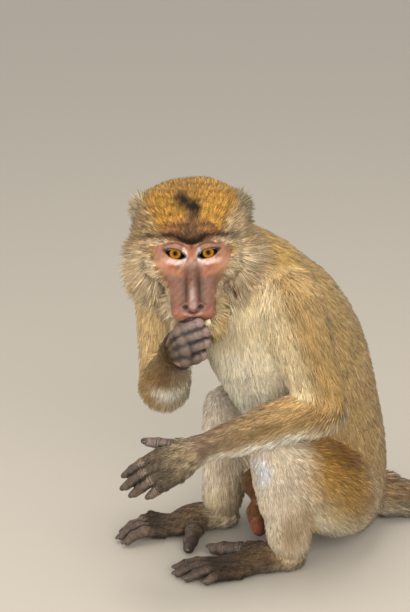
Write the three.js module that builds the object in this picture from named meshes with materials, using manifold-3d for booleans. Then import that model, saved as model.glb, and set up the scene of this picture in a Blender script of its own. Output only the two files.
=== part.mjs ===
// A sitting long-tailed macaque, life size, as a still display model.
// Millimetres, +Z up. The origin is on the floor at the middle of the seat. The trunk faces -Y and
// the animal's left side is +X. The surfaces are the outline of the coat, out to the hair tips, and
// bare skin on the face, the palms and the soles.
import * as THREE from 'three';
import { LoftGeometry } from 'three/addons/geometries/LoftGeometry.js';
import { mergeVertices } from 'three/addons/utils/BufferGeometryUtils.js';
import Module from 'manifold-3d';

const wasm = await Module();
wasm.setup();
const { Manifold, Mesh: SolidMesh } = wasm;

// ---------------------------------------------------------------- driving dimensions

const GAP = 0.3; // thin cut between two nodes
const EYE_RADIUS = 9.6;
const EYE_SPACING = 34; // between the eyeball centres

const LEFT = 1;
const RIGHT = -1;
const SIDES = [[LEFT, 'left'], [RIGHT, 'right']];

// Joints of the skeleton, [x, y, z].
const HIP = { [LEFT]: [44, -42, 70], [RIGHT]: [-45, -38, 64] };
const KNEE = { [LEFT]: [73, -138, 152], [RIGHT]: [-60, -122, 150] };
const ANKLE = { [LEFT]: [66, -108, 30], [RIGHT]: [-58, -126, 34] };
const SHOULDER = { [LEFT]: [58, -112, 312], [RIGHT]: [-50, -196, 308] };
const ELBOW = { [LEFT]: [105, -94, 208], [RIGHT]: [-52, -204, 191] };
const WRIST = { [LEFT]: [80, -234, 175], [RIGHT]: [44, -242, 273] };
const HEEL = { [LEFT]: [66, -96, 0], [RIGHT]: [-58, -112, 0] };

// The head's own frame: origin between the eyeballs, +y out of the face, +x to the animal's right.
const HEAD_AT = [29, -211, 374];
const HEAD_YAW = THREE.MathUtils.degToRad(-117.5); // from +y to the way the face looks
const HEAD_NOD = THREE.MathUtils.degToRad(-15.5);
const HEAD_ROLL = THREE.MathUtils.degToRad(1.8);

// ---------------------------------------------------------------- shapes

const v3 = (p) => new THREE.Vector3(...p);

// The rings of a domed end, as angles up from its rim in degrees.
const ROUND = [72, 36];
const BLUNT = [55];

// A closed tube through stations { at, wide, deep, square }, smooth between them, with domed ends.
// wide is the half width along the across direction and deep the half width square to it. square 2
// is an ellipse, and more than 2 fills its corners. domes stretch the two ends.
function tube(stations, options = {}) {
  const { across = [1, 0, 0], sides = 12, rings = 2, grow = 0, domes = [1, 1], caps = ROUND } = options;
  const sizes = stations.map((s) => new THREE.Vector3(s.wide, s.deep ?? s.wide, s.square ?? 2));
  const size = new THREE.CatmullRomCurve3(sizes, false, 'catmullrom', 0.5);
  const path = new THREE.CatmullRomCurve3(stations.map((s) => v3(s.at)), false, 'centripetal');
  const steps = rings * (stations.length - 1);
  const hint = v3(across);
  const ring = (t, along, scale) => {
    const tangent = path.getTangent(t);
    const side = hint.clone().addScaledVector(tangent, -hint.dot(tangent)).normalize();
    const other = tangent.clone().cross(side);
    const centre = path.getPoint(t).addScaledVector(tangent, along);
    const { x: wide, y: deep, z: square } = size.getPoint(t);
    return Array.from({ length: sides }, (_, i) => {
      const angle = (2 * Math.PI * (i + 0.5)) / sides;
      const [c, s] = [Math.cos(angle), Math.sin(angle)];
      return centre.clone()
        .addScaledVector(side, Math.sign(c) * Math.abs(c) ** (2 / square) * (wide + grow) * scale)
        .addScaledVector(other, Math.sign(s) * Math.abs(s) ** (2 / square) * (deep + grow) * scale);
    });
  };
  const reach = (t) => Math.min(size.getPoint(t).x, size.getPoint(t).y) + grow;
  const domeAngles = caps.map(THREE.MathUtils.degToRad);
  const dome = (t, depth) => domeAngles.map((a) => ring(t, depth * reach(t) * Math.sin(a), Math.cos(a)));
  const body = Array.from({ length: steps + 1 }, (_, i) => ring(i / steps, 0, 1));
  const sections = [...dome(0, -domes[0]), ...body, ...dome(1, domes[1]).toReversed()];
  return new LoftGeometry(sections, { capStart: true, capEnd: true });
}

// A sphere stretched to radii, turned by angles in degrees and moved to at.
function egg(at, radii, { turn = [0, 0, 0], detail = 14, grow = 0 } = {}) {
  const shape = new THREE.SphereGeometry(1, detail, Math.round(detail * 0.6));
  shape.scale(...radii.map((r) => r + grow));
  shape.applyMatrix4(new THREE.Matrix4().makeRotationFromEuler(
    new THREE.Euler(...turn.map(THREE.MathUtils.degToRad))));
  return shape.translate(...at);
}

// A geometry as a manifold solid, first put in place by a matrix.
function solid(geometry, matrix = new THREE.Matrix4()) {
  const bare = new THREE.BufferGeometry().setAttribute('position', geometry.getAttribute('position').clone());
  bare.setIndex(geometry.getIndex());
  const merged = mergeVertices(bare.applyMatrix4(matrix), 1e-4);
  return new Manifold(new SolidMesh({
    numProp: 3,
    vertProperties: merged.getAttribute('position').array,
    triVerts: new Uint32Array(merged.index.array),
  }));
}

const join = (geometries, matrix) => geometries.map((g) => solid(g, matrix)).reduce((all, s) => all.add(s));

// A frame with its origin at `at`, +y along forward, and +z as near up as it can be.
function frameOf(at, forward, up) {
  const y = v3(forward).normalize();
  const x = y.clone().cross(v3(up)).normalize();
  const z = x.clone().cross(y);
  return new THREE.Matrix4().makeBasis(x, y, z).setPosition(...at);
}

// ---------------------------------------------------------------- trunk and neck

// Up the middle of the body from the seat to the base of the neck. wide is across the animal.
const SPINE = [
  { at: [0, -2, 34], wide: 52, deep: 44 },
  { at: [0, -10, 76], wide: 60, deep: 58 },
  { at: [0, -24, 124], wide: 64, deep: 66 },
  { at: [0, -44, 172], wide: 68, deep: 76 },
  { at: [0, -68, 222], wide: 73, deep: 84 },
  { at: [-2, -98, 272], wide: 76, deep: 82 },
  { at: [-4, -122, 312], wide: 68, deep: 70 },
];

const trunk = (grow) => join([
  tube(SPINE, { across: [1, 0.18, 0], sides: 18, rings: 2, grow, domes: [0.9, 0.7] }),
  egg([0, -84, 72], [18, 30, 26], { detail: 10, grow }), // groin
  egg([-3, -105, 45], [14, 18, 38], { turn: [-14, 0, 0], detail: 10, grow }), // scrotum
]);

const headFrame = new THREE.Matrix4().makeRotationFromEuler(
  new THREE.Euler(HEAD_NOD, HEAD_ROLL, HEAD_YAW, 'ZXY')).setPosition(...HEAD_AT);
const inHead = (p) => v3(p).applyMatrix4(headFrame).toArray();

const neck = (grow) => solid(tube([
  { at: [-2, -110, 304], wide: 66, deep: 64 },
  { at: [-4, -136, 334], wide: 60, deep: 56 },
  { at: inHead([4, -56, -10]), wide: 46, deep: 44 },
], { across: [1, 0.5, 0], sides: 14, grow, domes: [1, 0.3], caps: BLUNT }));

// ---------------------------------------------------------------- head

const skull = (grow) => tube([
  { at: [0, -86, 2], wide: 40, deep: 34, square: 2.3 },
  { at: [0, -66, 4], wide: 54, deep: 45, square: 2.5 },
  { at: [0, -42, 5], wide: 59, deep: 49, square: 2.6 },
  { at: [0, -18, 3], wide: 54, deep: 44, square: 2.4 },
  { at: [0, 0, 0], wide: 43, deep: 34 },
], { sides: 16, rings: 1, grow, domes: [0.6, 0.3], caps: BLUNT });

const muzzle = () => tube([
  { at: [0, -12, -24], wide: 33, deep: 27 },
  { at: [0, 10, -33], wide: 27, deep: 22, square: 2.3 },
  { at: [0, 25, -44], wide: 25, deep: 17, square: 2.4 },
  { at: [0, 35, -51], wide: 22, deep: 12, square: 2.4 },
], { sides: 12, rings: 1, domes: [1, 0.6] });

const noseBridge = () => tube([
  { at: [0, 5, 4], wide: 7 },
  { at: [0, 16, -12], wide: 7 },
  { at: [0, 28, -26], wide: 8 },
  { at: [0, 37, -36], wide: 10, deep: 8 },
], { sides: 8, rings: 1 });

const lowerJaw = () => tube([
  { at: [0, -36, -48], wide: 36, deep: 20 },
  { at: [0, -10, -64], wide: 28, deep: 17 },
  { at: [0, 12, -74], wide: 21, deep: 12 },
  { at: [0, 23, -77], wide: 16, deep: 9 },
], { sides: 8, rings: 1 });

const browRidge = () => tube(
  [-38, -20, 0, 20, 38].map((x) => ({ at: [x, 8 - 0.011 * x * x, 19 - 0.0025 * x * x], wide: 6, deep: 7 })),
  { across: [0, 1, 0], sides: 8, rings: 1 });

// The long hair from the temple down past the cheek to the throat.
const cheek = (x) => tube([
  { at: [x * 44, -40, 28], wide: 14, deep: 18 },
  { at: [x * 46, -32, 6], wide: 20, deep: 23 },
  { at: [x * 48, -27, -14], wide: 25, deep: 25 },
  { at: [x * 50, -24, -36], wide: 29, deep: 28 },
  { at: [x * 43, -20, -56], wide: 27, deep: 26 },
  { at: [x * 26, -14, -70], wide: 20, deep: 20 },
], { sides: 8, rings: 1, caps: BLUNT });

const socket = (side) => egg([(-side * EYE_SPACING) / 2, 13, 4], [11.5, 13, 8], { detail: 8 });

// The open mouth, and the lower canines with the row of front teeth between them.
const mouth = egg([0, 24, -65.5], [18.5, 19, 4.5], { turn: [-14, 0, 0], detail: 10 });
const teeth = [-12, 0, 12].map((x) => (
  egg([x, 28 - 0.04 * x * x, -69], x === 0 ? [8, 2.4, 4.5] : [3.2, 3, 7], { detail: 6 })));

const eyeball = (side, grow) => solid(
  egg([(-side * EYE_SPACING) / 2, 0, 0], Array(3).fill(EYE_RADIUS), { detail: 10, grow }), headFrame);

// An ear: a thin cup, upright on the side of the head, its hollow turned out and forward.
function ear(side, grow) {
  const at = [-side * 51.5, -50, 24];
  const turn = [-8, side * -10, side * 58];
  const cup = solid(egg(at, [13, 5.5, 19], { turn, detail: 10, grow }), headFrame);
  const hollow = egg([at[0] - side * 5, at[1] + 3, at[2] + 1], [10.5, 5, 15.5], { turn, detail: 8 });
  return grow > 0 ? cup : cup.subtract(solid(hollow, headFrame));
}

const head = (grow) => join(
  [skull(grow), muzzle(), noseBridge(), lowerJaw(), browRidge(), cheek(-1), cheek(1)], headFrame)
  .subtract(join([mouth, socket(LEFT), socket(RIGHT)], headFrame))
  .add(join(teeth, headFrame));

// ---------------------------------------------------------------- arms and legs

// A limb between two joints: sizes are [share of the way, wide, deep], and bow bends it sideways.
function limb(from, to, sizes, options, bow = [0, 0, 0]) {
  const stations = sizes.map(([share, wide, deep]) => {
    const at = v3(from).lerp(v3(to), share).addScaledVector(v3(bow), Math.sin(Math.PI * share));
    return { at: at.toArray(), wide, deep: deep ?? wide };
  });
  return solid(tube(stations, { sides: 10, rings: 1, caps: BLUNT, ...options }));
}

const upperArm = (side, grow) => limb(SHOULDER[side], ELBOW[side],
  [[-0.05, 40, 42], [0.3, 36, 38], [0.65, 29, 30], [1, 22, 23]], { grow, across: [0, 1, 0] });

const forearm = (side, grow) => limb(ELBOW[side], WRIST[side],
  [[0, 24, 25], [0.25, 26, 26], [0.6, 21, 21], [0.95, 16, 13]],
  { grow, across: [0, 0, 1], domes: [0.9, 0.5] });

const thigh = (side, grow) => limb(HIP[side], KNEE[side],
  [[-0.08, 50, 50], [0.14, 55, 55], [0.36, 54, 54], [0.62, 46, 45], [0.84, 35, 34], [1, 28, 27]],
  { grow, across: [0, 0, 1], sides: 12, caps: ROUND });

const shin = (side, grow) => limb(KNEE[side], ANKLE[side],
  [[0, 27, 27], [0.3, 27, 33], [0.65, 22, 28], [1, 17, 22]], { grow, across: [1, 0, 0] }, [0, 6, 0]);

// ---------------------------------------------------------------- hands and feet

// A finger or toe: from its base along `heading` degrees from +y towards +x, bent down at its
// joints by `bends` degrees.
function digit({ base, heading, lengths, bends, radii, lift = 0 }) {
  const h = THREE.MathUtils.degToRad(heading);
  const forward = new THREE.Vector3(Math.sin(h), Math.cos(h), 0);
  const at = v3(base);
  const stations = [{ at: at.toArray(), wide: radii[0] }];
  let pitch = THREE.MathUtils.degToRad(lift);
  lengths.forEach((length, i) => {
    pitch -= THREE.MathUtils.degToRad(bends[i]);
    at.addScaledVector(forward, length * Math.cos(pitch));
    at.z += length * Math.sin(pitch);
    stations.push({ at: at.toArray(), wide: radii[i + 1], deep: radii[i + 1] * 0.92 });
  });
  return tube(stations, { across: [forward.y, -forward.x, 0], sides: 6, rings: 1, caps: BLUNT });
}

const FINGER_LENGTHS = [[23, 14, 10], [26, 16, 11], [24, 15, 11], [19, 12, 9]];
const TOE_LENGTHS = [[25, 14, 9], [27, 14, 10], [25, 13, 10], [20, 11, 8]];
const FINGER_RADII = [7.2, 6.6, 6, 5];
const THUMB_RADII = [7.5, 6.8, 6.4, 5.4];
const BIG_TOE_RADII = [11, 10, 9, 7];

// A hand in its own frame: origin at the wrist, +y along the palm, +z out of its back, and the thumb
// on the side of `inner` along x. The palm's end lies at `reach`, and curl bends each finger by so
// much more than the one before it.
function hand(inner, { frame, reach, bends, curl, spread, thumb }) {
  const palm = tube([
    { at: [0, -8, 0], wide: 15, deep: 12 },
    { at: [0, 12, 0], wide: 17, deep: 11, square: 2.3 },
    { at: [-inner, reach, 0], wide: 20, deep: 11, square: 2.5 },
  ], { sides: 10, rings: 1, domes: [0.5, 0.7], caps: BLUNT });
  const fingers = FINGER_LENGTHS.map((lengths, i) => digit({
    base: [inner * (13 - 9.4 * i), 34 - 1.7 * Math.abs(i - 1) * i, 1],
    heading: inner * spread * (1.3 - i),
    lengths,
    bends: bends.map((b) => b + curl * (i - 1)),
    radii: FINGER_RADII,
  }));
  return join([palm, ...fingers, digit({ radii: THUMB_RADII, ...thumb })], frame);
}

const HANDS = {
  [LEFT]: {
    frame: frameOf(WRIST[LEFT], [-0.33, -0.84, -0.43], [0.62, -0.33, 0.71]),
    reach: 36,
    bends: [9, 15, 8],
    curl: -1,
    spread: 3,
    thumb: { base: [11, 8, -3], heading: 34, lengths: [15, 15, 11], bends: [4, -6, 4] },
  },
  [RIGHT]: {
    frame: frameOf(WRIST[RIGHT], [0.79, 0, 0.61], [0.08, -0.99, -0.1]),
    reach: 29,
    bends: [78, 92, 55],
    curl: 4,
    spread: 0,
    thumb: { base: [-14, 12, -8], heading: -18, lengths: [13, 12, 9], bends: [14, 42, 46] },
  },
};

// A foot in its own frame: origin on the floor under the heel, +y to the toes, +z up, and the big toe
// on the side of `inner` along x.
function foot(inner, { frame, bends, lift, spread, hallux }) {
  const sole = tube([
    { at: [0, 10, 16], wide: 16, deep: 19 },
    { at: [0, 32, 18], wide: 18, deep: 20, square: 2.2 },
    { at: [inner, 60, 14], wide: 19, deep: 15.5, square: 2.4 },
    { at: [0, 88, 9], wide: 20, deep: 10, square: 2.5 },
  ], { sides: 8, rings: 1, domes: [0.9, 0.6], caps: BLUNT });
  const toes = TOE_LENGTHS.map((lengths, i) => digit({
    base: [inner * (13.5 - 9.4 * i), 88 - 2.4 * Math.abs(i - 1) * i, 8],
    heading: inner * spread * (1.4 - i),
    lengths,
    bends,
    lift,
    radii: FINGER_RADII,
  }));
  return join([sole, ...toes, digit({ radii: BIG_TOE_RADII, ...hallux })], frame);
}

const FEET = {
  [LEFT]: {
    frame: frameOf(HEEL[LEFT], [-0.235, -0.972, 0], [0, 0, 1]),
    bends: [8, 14, 14],
    lift: 15,
    spread: 5,
    hallux: { base: [15, 42, 15], heading: 34, lengths: [22, 20, 12], bends: [4, 2, 4] },
  },
  [RIGHT]: {
    frame: frameOf(HEEL[RIGHT], [-0.2, -0.98, 0], [0, 0, 1]),
    bends: [14, 28, 24],
    lift: 30,
    spread: 6,
    hallux: { base: [-14, 48, 14], heading: -62, lengths: [20, 16, 11], bends: [4, 6, 6] },
  },
};

// ---------------------------------------------------------------- tail

const TAIL = [
  { at: [4, 46, 32], wide: 29 },
  { at: [15, 82, 21], wide: 23 },
  { at: [24, 130, 17], wide: 19 },
  { at: [18, 186, 15], wide: 16 },
  { at: [-10, 240, 13], wide: 14 },
  { at: [-58, 276, 11.5], wide: 12.5 },
  { at: [-112, 284, 10.5], wide: 11.5 },
  { at: [-160, 266, 9.5], wide: 10.5 },
  { at: [-186, 234, 7.5], wide: 8 },
];
const TAIL_LENGTHS = [['tail_base', 0, 3], ['tail_middle', 3, 6], ['tail_tip', 6, 8]];

const tailLength = (from, to, grow) => solid(tube(TAIL.slice(from, to + 1), {
  across: [0, 0, 1], sides: 8, rings: 1, grow, domes: [0.6, 0.9], caps: BLUNT }));

// ---------------------------------------------------------------- nodes

const COAT = { color: 0xa98a5c, roughness: 0.9, metalness: 0 };
const FACE = { color: 0xb58f72, roughness: 0.8, metalness: 0 };
const BARE_DARK = { color: 0x4a423e, roughness: 0.6, metalness: 0 };
const TAIL_COAT = { color: 0x6e6253, roughness: 0.9, metalness: 0 };
const EYE = { color: 0xb4781c, roughness: 0.15, metalness: 0 };

const monkey = new THREE.Group();

// A group at a frame, for the pieces that are placed by it.
function groupAt(frame) {
  const group = new THREE.Group();
  group.applyMatrix4(frame);
  monkey.add(group);
  group.updateMatrixWorld();
  return group;
}

const groupAtJoint = (joint) => groupAt(new THREE.Matrix4().setPosition(...joint));

// Adds a node to a group. shape(grow) is its solid, and it gives way to the nodes made before it.
const earlier = [solid(new THREE.BoxGeometry(2000, 2000, 200).translate(0, 0, -100))]; // the floor
function addNode(group, name, shape, look) {
  const cut = earlier.reduce((rest, cutter) => rest.subtract(cutter), shape(0));
  earlier.push(shape(GAP));
  const main = cut.decompose().reduce((a, b) => (b.volume() > a.volume() ? b : a));
  const { vertProperties, triVerts } = main.getMesh();
  const geometry = new THREE.BufferGeometry()
    .setAttribute('position', new THREE.Float32BufferAttribute(vertProperties, 3))
    .setIndex(new THREE.Uint32BufferAttribute(triVerts, 1))
    .applyMatrix4(group.matrixWorld.clone().invert());
  const mesh = new THREE.Mesh(geometry, new THREE.MeshStandardMaterial(look));
  mesh.name = name;
  group.add(mesh);
}

const headGroup = groupAt(headFrame);
addNode(monkey, 'trunk', trunk, COAT);
for (const [side, name] of SIDES) {
  addNode(headGroup, `ear_${name}`, (grow) => ear(side, grow), COAT);
  addNode(headGroup, `eye_${name}`, (grow) => eyeball(side, grow), EYE);
}
addNode(headGroup, 'head', head, FACE);
addNode(monkey, 'neck', neck, COAT);

for (const [side, name] of SIDES) {
  addNode(groupAtJoint(SHOULDER[side]), `upper_arm_${name}`, (grow) => upperArm(side, grow), COAT);
  addNode(groupAtJoint(ELBOW[side]), `forearm_${name}`, (grow) => forearm(side, grow), COAT);
  addNode(groupAtJoint(HIP[side]), `thigh_${name}`, (grow) => thigh(side, grow), COAT);
  addNode(groupAtJoint(KNEE[side]), `shin_${name}`, (grow) => shin(side, grow), COAT);
}
for (const [side, name] of SIDES) {
  addNode(groupAt(FEET[side].frame), `foot_${name}`, () => foot(side, FEET[side]), BARE_DARK);
  addNode(groupAt(HANDS[side].frame), `hand_${name}`, () => hand(side, HANDS[side]), BARE_DARK);
}
for (const [name, from, to] of TAIL_LENGTHS) {
  addNode(monkey, name, (grow) => tailLength(from, to, grow), TAIL_COAT);
}

export default monkey;
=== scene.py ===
"""A sitting long-tailed macaque, life size, as a still display model.

One skin stands for all the flesh. The coat is thin closed tufts, joined into a few meshes, and the
eyes, teeth and nails are pieces of their own. Shapes are worked out in millimetres in the frame of
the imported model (+Z up, the trunk faces -Y, the animal's left is +X) and made into meshes in metres.
"""

import bpy
import numpy as np
import openvdb
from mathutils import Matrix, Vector


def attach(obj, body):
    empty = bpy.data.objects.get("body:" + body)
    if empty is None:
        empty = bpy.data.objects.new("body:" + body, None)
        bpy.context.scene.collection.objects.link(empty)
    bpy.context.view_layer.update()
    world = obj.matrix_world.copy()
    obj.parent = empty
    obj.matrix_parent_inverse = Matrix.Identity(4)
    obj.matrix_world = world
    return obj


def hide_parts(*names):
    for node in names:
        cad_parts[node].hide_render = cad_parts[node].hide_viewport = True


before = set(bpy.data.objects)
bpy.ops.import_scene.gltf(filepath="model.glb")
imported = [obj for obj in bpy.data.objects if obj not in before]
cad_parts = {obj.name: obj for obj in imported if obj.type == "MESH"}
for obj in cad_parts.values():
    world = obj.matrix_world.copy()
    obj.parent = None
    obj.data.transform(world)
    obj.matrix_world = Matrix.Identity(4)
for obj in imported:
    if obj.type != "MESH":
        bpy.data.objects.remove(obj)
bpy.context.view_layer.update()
rng = np.random.default_rng(11)
MM = 0.001  # metres in a millimetre
SIDES = {"left": 1, "right": -1}  # the sign of x on each side of the animal
UP = (0, 0, 1)


# ---------------------------------------------------------------- frames


def unit(v):
    """Vectors of length one, along the last axis."""
    v = np.asarray(v, float)
    return v / np.maximum(np.linalg.norm(v, axis=-1, keepdims=True), 1e-9)


def turn(axis, degrees):
    """The matrix of a turn about x (0), y (1) or z (2)."""
    c, s = np.cos(np.radians(degrees)), np.sin(np.radians(degrees))
    a, b = (axis + 1) % 3, (axis + 2) % 3
    m = np.eye(3)
    m[a, a], m[a, b], m[b, a], m[b, b] = c, -s, s, c
    return m


class Frame:
    """A place with three axes of its own, the columns of `axes`."""

    def __init__(self, at, axes):
        self.at, self.axes = np.asarray(at, float), np.asarray(axes, float)

    def world(self, p):
        """Points of this frame, in the model's frame."""
        return self.at + np.asarray(p, float) @ self.axes.T

    def local(self, p):
        """Points of the model's frame, in this one."""
        return (np.asarray(p, float) - self.at) @ self.axes


def frame_along(at, forward, up):
    """+y runs along forward, and +z is as near up as it can be."""
    y = unit(forward)
    x = unit(np.cross(y, up))
    return Frame(at, np.stack([x, y, np.cross(x, y)], 1))


WORLD = Frame((0, 0, 0), np.eye(3))

# The head's own frame: origin between the eyeballs, +y out of the face, +x to the animal's right.
HEAD = Frame((29, -211, 374), turn(2, -117.5) @ turn(0, -15.5) @ turn(1, 1.8))
# The face's frame is the head's tipped back until +y runs along the gaze and -z down the muzzle.
FACE = Frame(HEAD.at, HEAD.axes @ turn(0, 35.5))

# ---------------------------------------------------------------- the skeleton, as in the solids

SHOULDER = {"left": (58, -112, 312), "right": (-50, -196, 308)}
ELBOW = {"left": (105, -94, 208), "right": (-52, -204, 191)}
WRIST = {"left": (80, -234, 175), "right": (44, -242, 273)}
HIP = {"left": (44, -42, 70), "right": (-45, -38, 64)}
KNEE = {"left": (73, -138, 152), "right": (-60, -122, 150)}
ANKLE = {"left": (66, -108, 30), "right": (-58, -126, 34)}
HEEL = {"left": (66, -96, 0), "right": (-58, -112, 0)}

HAND = {
    "left": frame_along(WRIST["left"], (-0.33, -0.84, -0.43), (0.62, -0.33, 0.71)),
    "right": frame_along(WRIST["right"], (0.79, 0, 0.61), (0.08, -0.99, -0.1)),
}
FOOT = {
    "left": frame_along(HEEL["left"], (-0.235, -0.972, 0), UP),
    "right": frame_along(HEEL["right"], (-0.2, -0.98, 0), UP),
}
EYE_RADIUS = 9.6
EYE_AT = {"left": (-17, 0, 0), "right": (17, 0, 0)}


def digit_points(base, heading, lengths, bends, lift=0):
    """A digit's joints: from its base along `heading` degrees from +y towards +x, raised by `lift`
    degrees and bent down at each joint by `bends` degrees."""
    way = np.array([np.sin(np.radians(heading)), np.cos(np.radians(heading)), 0])
    pitch = np.radians(lift - np.cumsum(bends))
    steps = np.outer(np.cos(pitch), way) + np.outer(np.sin(pitch), UP)
    return np.concatenate([[base], base + np.cumsum(steps * np.asarray(lengths)[:, None], 0)])


# Each digit's bones, from its base to its tip, and its radius at each joint.
FINGER_LENGTHS = ((23, 14, 10), (26, 16, 11), (24, 15, 11), (19, 12, 9))
TOE_LENGTHS = ((25, 14, 9), (27, 14, 10), (25, 13, 10), (20, 11, 8))
FINGER_RADII = (7.2, 6.6, 6, 5)
THUMB_RADII = (7.5, 6.8, 6.4, 5.4)
BIG_TOE_RADII = (11, 10, 9, 7)
DIGIT_GAP = 9.4  # mm from one finger or toe to the next, at their bases
# The bends at the joints, and how much more they curl and spread from one digit to the next.
HAND_POSE = {
    "left": dict(bends=(9, 15, 8), curl=-1, spread=3,
                 thumb=dict(base=(11, 8, -3), heading=34, lengths=(15, 15, 11), bends=(4, -6, 4))),
    "right": dict(bends=(78, 92, 55), curl=4, spread=0,
                  thumb=dict(base=(-14, 12, -8), heading=-18, lengths=(13, 12, 9), bends=(14, 42, 46))),
}
FOOT_POSE = {
    "left": dict(bends=(8, 14, 14), lift=15, spread=5,
                 hallux=dict(base=(15, 42, 15), heading=34, lengths=(22, 20, 12), bends=(4, 2, 4))),
    "right": dict(bends=(14, 28, 24), lift=30, spread=6,
                  hallux=dict(base=(-14, 48, 14), heading=-62, lengths=(20, 16, 11), bends=(4, 6, 6))),
}


class Part:
    """A length of the body: points up its middle, each with a girth (mean half width), and what the
    coat does there: its depth over the skin, and the tufts' length. flow is 1 where hair runs from
    the first point to the last and -1 where it runs back."""

    def __init__(self, name, at, girth, depth, hair, flow=1):
        self.name, self.flow = name, flow
        self.at = np.asarray(at, float)
        n = len(self.at)
        self.girth, self.depth, self.hair = (
            np.interp(np.linspace(0, 1, n), np.linspace(0, 1, len(v)), v) for v in (girth, depth, hair)
        )

    def nearest(self, p):
        """For each point: distance over girth, place along the part in points, and the way along."""
        best = np.full(len(p), np.inf, np.float32)
        place = np.zeros(len(p), np.float32)
        p = p.astype(np.float32)
        for i, (a, b) in enumerate(zip(self.at[:-1], self.at[1:])):
            ab = (b - a).astype(np.float32)
            t = np.clip((p - a.astype(np.float32)) @ ab / (ab @ ab), 0, 1)
            gap = np.linalg.norm(p - a.astype(np.float32) - t[:, None] * ab, axis=1)
            ratio = gap / (self.girth[i] + t * (self.girth[i + 1] - self.girth[i]))
            nearer = ratio < best
            best = np.where(nearer, ratio, best)
            place = np.where(nearer, i + t, place)
        return best, place

    def along(self, values, place):
        """A value given at each point, between the points."""
        return np.interp(place, np.arange(len(self.at)), values)

    def way(self, place):
        """The unit vector along the part."""
        steps = unit(np.diff(self.at, axis=0))
        knots = np.concatenate([steps[:1], (steps[:-1] + steps[1:]) / 2, steps[-1:]])
        return unit(np.stack([self.along(knots[:, k], place) for k in range(3)], 1))


def between(a, b, shares):
    """Points on the line from a to b, at these shares of its length."""
    return [np.asarray(a, float) + s * (np.asarray(b, float) - np.asarray(a, float)) for s in shares]


PALM_MIDDLE = {
    "left": [(0, 0, 0), (0, 36, 0), (0, 66, -6)],
    "right": [(0, 2, 0), (0, 28, -2), (0, 40, -16), (0, 30, -30)],
}


def body_parts():
    """Every part, along the middle of its solid. The outline narrows by the depth of the coat."""
    parts = [
        Part("trunk",
             [(0, -2, 34), (0, -10, 76), (0, -24, 124), (0, -44, 172), (0, -68, 222), (-2, -98, 272),
              (-4, -122, 312)],
             (48, 59, 65, 72, 78, 79, 69), (4, 4, 4, 6), (15, 17, 18, 19), flow=-1),
        Part("scrotum", [(-12, -94, 84), (-6, -106, 54), (-5, -112, 20)],
             (24, 17, 12), (1.5,), (12, 9, 5)),
        Part("neck", [(-2, -110, 304), (-4, -136, 334), HEAD.world((4, -56, -10))],
             (65, 58, 45), (9, 9, 8), (19, 19, 18), flow=-1),
        Part("skull", HEAD.world([(0, -86, 2), (0, -42, 5), (0, 0, 0)]),
             (37, 54, 36), (4, 2.5, 3), (13, 12, 9), flow=-1),
        Part("muzzle", HEAD.world([(0, -12, -24), (0, 25, -44), (0, 40, -50)]),
             (28, 22, 20), (10,), (4,), flow=-1),
        Part("jaw", HEAD.world([(0, -36, -48), (0, -8, -64), (0, 23, -77)]),
             (26, 22, 12), (8, 6, 2), (18, 12, 5), flow=-1),
        Part("tail",
             [(4, 46, 32), (15, 82, 21), (24, 130, 17), (18, 186, 15), (-10, 240, 13), (-58, 276, 11.5),
              (-112, 284, 10.5), (-160, 266, 9.5), (-186, 234, 7.5)],
             (29, 23, 19, 16, 14, 12.5, 11.5, 10.5, 8), (4.5, 3, 2.5), (17, 13, 11)),
    ]
    for side, s in SIDES.items():
        hand, foot = HAND[side], FOOT[side]
        palm = PALM_MIDDLE[side]
        parts += [
            Part(f"cheek_{side}",
                 HEAD.world([(-s * 44, -40, 28), (-s * 46, -32, 4), (-s * 50, -24, -36),
                             (-s * 26, -14, -70)]),
                 (17, 22, 27, 20), (2.5, 7, 12, 12), (15, 18, 23, 20)),
            Part(f"ear_{side}", HEAD.world([(-s * 52, -51, 26), (-s * 55, -53, 40)]),
                 (7, 7), (0.5,), (6.5,)),
            Part(f"upper_arm_{side}", between(SHOULDER[side], ELBOW[side], (-0.05, 0.3, 0.65, 1)),
                 (41, 37, 30, 23), (6, 5, 3.5, 2), (18, 18, 19, 21)),
            Part(f"forearm_{side}", between(ELBOW[side], WRIST[side], (0, 0.25, 0.6, 0.95)),
                 (25, 26, 21, 15), (2, 3, 3, 1.5), (20, 17, 14, 9), flow=s),
            Part(f"hand_{side}", hand.world(palm), (14, 19, 19), (1,), (8, 6, 4)),
            Part(f"thigh_{side}", between(HIP[side], KNEE[side], (-0.08, 0.14, 0.36, 0.62, 0.84, 1)),
                 (50, 55, 54, 45.5, 34.5, 28), (5, 5, 5, 5, 4, 3), (17, 17, 16, 14, 12, 9), flow=-1),
            Part(f"shin_{side}", between(KNEE[side], ANKLE[side], (0, 0.3, 0.65, 1)),
                 (27, 30, 25, 19), (2, 2, 0.5, 0), (10, 13, 15, 14)),
            Part(f"foot_{side}", foot.world([(0, 8, 18), (0, 40, 15), (0, 88, 8), (0, 128, 6)]),
                 (17, 19, 16, 16), (1.2,), (9, 7, 5, 3)),
            Part(f"toe_{side}", foot.world(digit_points(**FOOT_POSE[side]["hallux"])[1:]),
                 (9, 8, 7), (1.2,), (2,)),
            Part(f"thumb_{side}", hand.world(digit_points(**HAND_POSE[side]["thumb"])[1:]),
                 (7, 6, 5), (1,), (2,)),
        ]
    return parts


PARTS = body_parts()
NAMES = [part.name for part in PARTS]
HEAD_PARTS = ("skull", "muzzle", "jaw", "cheek", "ear")
SHARPNESS = 14  # how quickly one part's looks give way to the next one's


def shares(p):
    """How much each point belongs to each part (points x parts), and its place along each part.
    A part's share falls off exponentially with distance over girth."""
    found = [part.nearest(p) for part in PARTS]
    ratio = np.stack([f[0] for f in found], 1)
    place = np.stack([f[1] for f in found], 1)
    weight = np.exp(-SHARPNESS * (ratio - ratio.min(1, keepdims=True)))
    return weight / weight.sum(1, keepdims=True), place


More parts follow.
